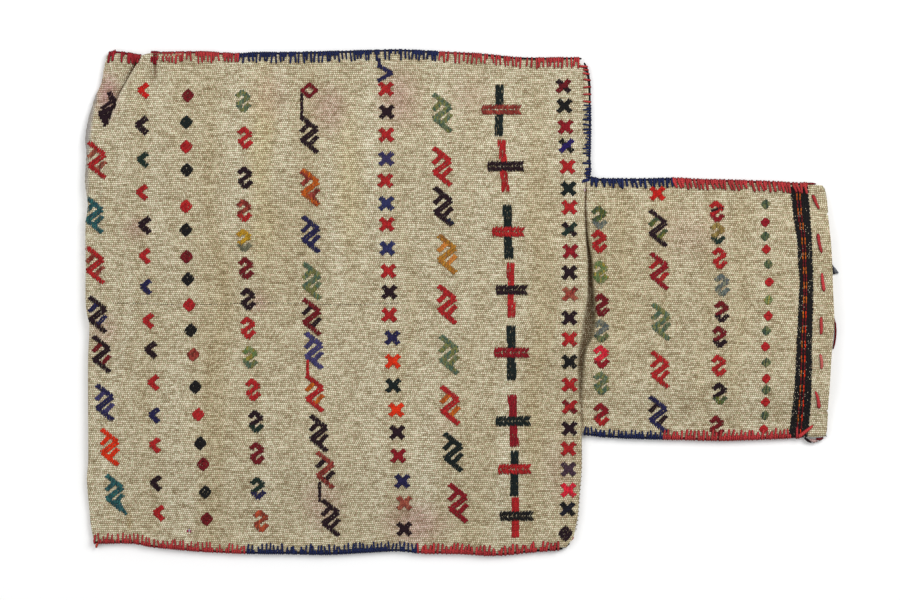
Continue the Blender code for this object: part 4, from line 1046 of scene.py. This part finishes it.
STRETCHES = {
    "seam_red": (
        (("top", 108.8, 124, TUCK_RED, (6.5, 10), 4.1, 0.5, -1.4, 1.15), "seam_red_tuck"),
        (("top", 127.5, 134, TUCK_RED, (8.5, 10), 2.0), "seam_red_tuck"),
        (("top", 134.6, 137.6, TUCK_RED, (5, 7), 1.7), "seam_red_tuck"),
        (("top", 138, 140, TUCK_RED, (1.6, 3), 1.4), "seam_red_tuck"),
        (("top", 151, 157, CRIMSON, (8, 12), 2.0), "seam_red_upper_left"),
        (("top", 158, 238, SEAM_RED, (6, 10.5), 3.6), "seam_red_upper_left"),
        (("top", 440, 579, SEAM_RED, (6.5, 9.5), 4.0, 0.5), "seam_red_upper_right"),
        (("shoulder", 66, 102, SEAM_RED, (3, 6), 6.5, 0.2), "seam_red_shoulder"),
        (("bottom", 93.5, 246, SEAM_RED, (4.5, 9), 4.1, 0.6, 0.0, 0.9), "seam_red_lower_left"),
        (("bottom", 418, 560, SEAM_RED, (5, 9), 4.0, 0.75, 0.4, 1.25), "seam_red_lower_right"),
        (("neck_top", 674, 808, SEAM_RED, (6, 9), 4.2, 0.75, 2.2, 1.3), "seam_red_neck_upper"),
        (("neck_bottom", 664, 801, SEAM_RED, (5, 9), 4.2, 0.8, 0.6, 1.2), "seam_red_neck_lower")),
    "seam_navy": (
        (("top", 239, 439, SEAM_NAVY, (6, 9.5), 3.9), "seam_navy_upper"),
        (("shoulder", 105, 178, SEAM_NAVY, (3, 6), 5.0), "seam_navy_shoulder"),
        (("bottom", 247, 417, SEAM_NAVY, (5, 9), 3.8), "seam_navy_lower"),
        (("neck_top", 592, 673, SEAM_NAVY, (5, 8), 4.2, 0.75, 1.4, 1.25), "seam_navy_neck_upper"),
        (("neck_bottom", 585, 663, SEAM_NAVY, (4, 7), 4.4), "seam_navy_neck_lower")),
}
LOOSE = {
    "seam_red": (
        (((114.4, 53.4, 5.8), (114.5, 51, 6.2), (114.3, 48.8, 6.0)), (1.1, 0.8), TUCK_RED),
        (((97, 543, 4.4), (95.6, 546, 4.0), (95, 548.4, 3.2)), (1.2, 1.6), (0.86, 0.3, 0.22)),
        (((805.6, 438.4, 4.2), (809, 440.8, 3.4), (812.6, 442.8, 2.6)), 1.6, (0.13, 0.06, 0.08)),
        (((811, 440, 4.0), (815, 441.6, 3.6), (818.6, 441, 3.4)), 1.9, (0.8, 0.66, 0.64)),
        (((817, 439.4, 4.4), (821, 439.6, 4.0), (824.4, 438.4, 3.4)), 1.6, (0.46, 0.09, 0.13)),
        (((571, 541.6, 4.4), (572.6, 539.6, 4.8), (574.2, 538, 4.8)), 1.0, SEAM_RED)),
    "seam_navy": (
        (((561, 547.2, 3.8), (565.6, 546.8, 4.0), (569.6, 543.8, 4.0)), 1.9, BLACK),
        (((825.8, 425, 3.4), (826.6, 431, 3.0), (827.8, 437.6, 1.6)), 0.6, (0.14, 0.2, 0.17))),
}
for name, stretches in STRETCHES.items():
    threads = [thread for facts, node in stretches for thread in overcast(*facts)]
    threads += [([at(*p) for p in points], radius, linear(colour)) for points, radius, colour in LOOSE[name]]
    piece = tubes(name, threads)
    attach(piece, "root")
    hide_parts(*sorted({node for facts, node in stretches}))


CORD_HEIGHT = 3.7
CORD_RADIUS = 1.25
CORD_STEP = 4


def edge_cord(line, start, end, colour):
    """The core that the stitches go round, in the colour of the yarn wound on it."""
    where, (nx, ny) = LINES[line]
    count = max(2, round((end - start) / CORD_STEP))
    points = []
    for place in (*steps(start, end, count), end):
        x, y = where(place)
        out = 1.15 + 0.25 * ripple(x, y, 9)
        points.append(at(x - nx * out, y - ny * out, CORD_HEIGHT))
    return points, CORD_RADIUS, linear(colour)


cords = [edge_cord(*facts) for facts in (
    ("top", 108, 140, WOUND_RED), ("top", 150, 239, WOUND_RED), ("top", 238, 440, WOUND_NAVY),
    ("top", 439, 482, WOUND_RED), ("top", 481, 582, CORE), ("shoulder", 62, 104, CORE),
    ("shoulder", 103, 179, WOUND_NAVY), ("neck_top", 590, 674, WOUND_NAVY), ("neck_top", 673, 817, WOUND_RED),
    ("neck_bottom", 584, 664, WOUND_NAVY), ("neck_bottom", 663, 803, WOUND_RED), ("bottom", 92.4, 247, WOUND_RED),
    ("bottom", 246, 418, WOUND_NAVY), ("bottom", 417, 520, WOUND_RED), ("bottom", 519, 563, CORE))]
core = tubes("edge_cord", cords, 8)
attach(core, "root")

# %% Plain seam of the lower shoulder, rolled to the back
PLAIN_START, PLAIN_END, PLAIN_PITCH, PLAIN_RADIUS = 441, 530, 4.4, 0.6
plain_threads = []
place = PLAIN_START
while place < PLAIN_END:
    x = read(ROOT, place)
    points = [at(x + dx, place + dy, height) for dx, dy, height in (
        (-7, 0, 0.7), (-2, 0.6, 0.75), (0.3, 1, 1.4), (0.2, 1.2, 3))]
    plain_threads.append((points, PLAIN_RADIUS, shaded(CREAM)))
    place += PLAIN_PITCH
plain = tubes("seam_plain", plain_threads)
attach(plain, "root")
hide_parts("seam_plain_shoulder")

# %% Running stitch of the hem
HEM = (
    ((813, 195), (820, 209)), ((817, 234), (821, 253)), ((821.5, 273), (823, 291)), ((821, 317), (820, 334.5)),
    ((820, 354), (821, 369)), ((815, 391), (820, 408)), ((813.5, 425.6), (799.6, 437.4)))
HEM_WIDTH = 1.6
HEM_WIDTHS = {1: (2.0, 1.2), 2: (1.9, 1.5), 3: (1.3, 2.0), 6: (1.1, 2.2), 7: (1.3, 2.1)}
CORAL_STITCH = 5
for number, (start, end) in enumerate(HEM, start=1):
    points = []
    for share in (*steps(0, 1, 8), 1):
        x, y = blend(start[0], end[0], share), blend(start[1], end[1], share)
        lift = 1.5 * math.sin(math.pi * share) ** 0.5 - 0.5
        points.append(at(x + 0.4 * math.sin(share * 5 + number), y, top_height(x, y) + lift))
    tint = CORAL if number == CORAL_STITCH else SEAM_RED
    piece = tubes(f"hem_thread_{number}", [(points, HEM_WIDTHS.get(number, HEM_WIDTH), shaded(tint))], 8)
    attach(piece, "root")
    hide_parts(f"hem_stitch_{8 - number}")

# %% Loose yarn at the mouth
LOOP_WIDTH = 2.0
loop_points = [at(x, y, 1.1) for x, y in pairs(
    834.8, 349.2, 836, 344, 837, 338, 837.4, 331, 836.9, 324, 835.4, 318)]
loop = tubes("slack_loop_yarn", [(loop_points, LOOP_WIDTH / 2, linear(DARK_RED))], 8)
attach(loop, "root")
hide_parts("slack_loop")
fibres = []
for share in (*steps(0, 1, 15), 1):
    tip = at(blend(834.2, 840.2, share), 273.6 - 0.6 * share + jitter(0.5), 1.1)
    bent = [at(832.2 + share * 0.8, 261 + share * 4, 1.6), at(834.6 + share * 1.8, 267 + share, 1.9), tip]
    fibres.append((bent, 0.6, shaded(DARK_SLATE if share < 0.35 else SLATE)))
tuft = tubes("cut_end_fibres", fibres)
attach(tuft, "root")
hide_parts("cut_end")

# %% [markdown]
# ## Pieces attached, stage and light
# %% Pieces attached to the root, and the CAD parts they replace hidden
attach(cloth, "root")
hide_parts("woven_cloth")
for piece in motifs:
    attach(piece, "root")

# %% Stage, light and camera
FLOOR_DROP = 0.0004
PAPER = 0.96
white = bpy.data.materials.new("paper_white")
white.use_nodes = True
paper = white.node_tree.nodes["Principled BSDF"]
paper.inputs["Base Color"].default_value = (PAPER, PAPER, PAPER, 1)
paper.inputs["Roughness"].default_value = 1.0
paper.inputs["Specular IOR Level"].default_value = 0.0
floor = add("floor", new_mesh("floor", [(-4, -4, 0), (4, -4, 0), (4, 4, 0), (-4, 4, 0)], [(0, 1, 2, 3)]), white)
floor.location.z = -FLOOR_DROP

world = bpy.data.worlds.new("studio")
world.use_nodes = True
world.node_tree.nodes["Background"].inputs["Color"].default_value = (1, 1, 1, 1)
world.node_tree.nodes["Background"].inputs["Strength"].default_value = 0.58
bpy.context.scene.world = world


def softbox(name, place, size, power):
    light = bpy.data.lights.new(name, "AREA")
    light.shape = "RECTANGLE"
    light.size, light.size_y = size
    light.energy = power
    lamp = place_in_scene(name, light)
    lamp.location = place
    lamp.rotation_euler = (-Vector(place)).to_track_quat("-Z", "Y").to_euler()


softbox("key", (1.3, 1.3, 1.9), (1.3, 1.3), 42)
softbox("fill", (-1.7, 0.3, 2.0), (1.6, 1.6), 16)

view = bpy.data.cameras.new("camera")
view.lens = 100
view.sensor_width = 36
camera = place_in_scene("camera", view)
camera.location = EYE
bpy.context.scene.camera = camera
bpy.context.scene.view_settings.view_transform = "Standard"
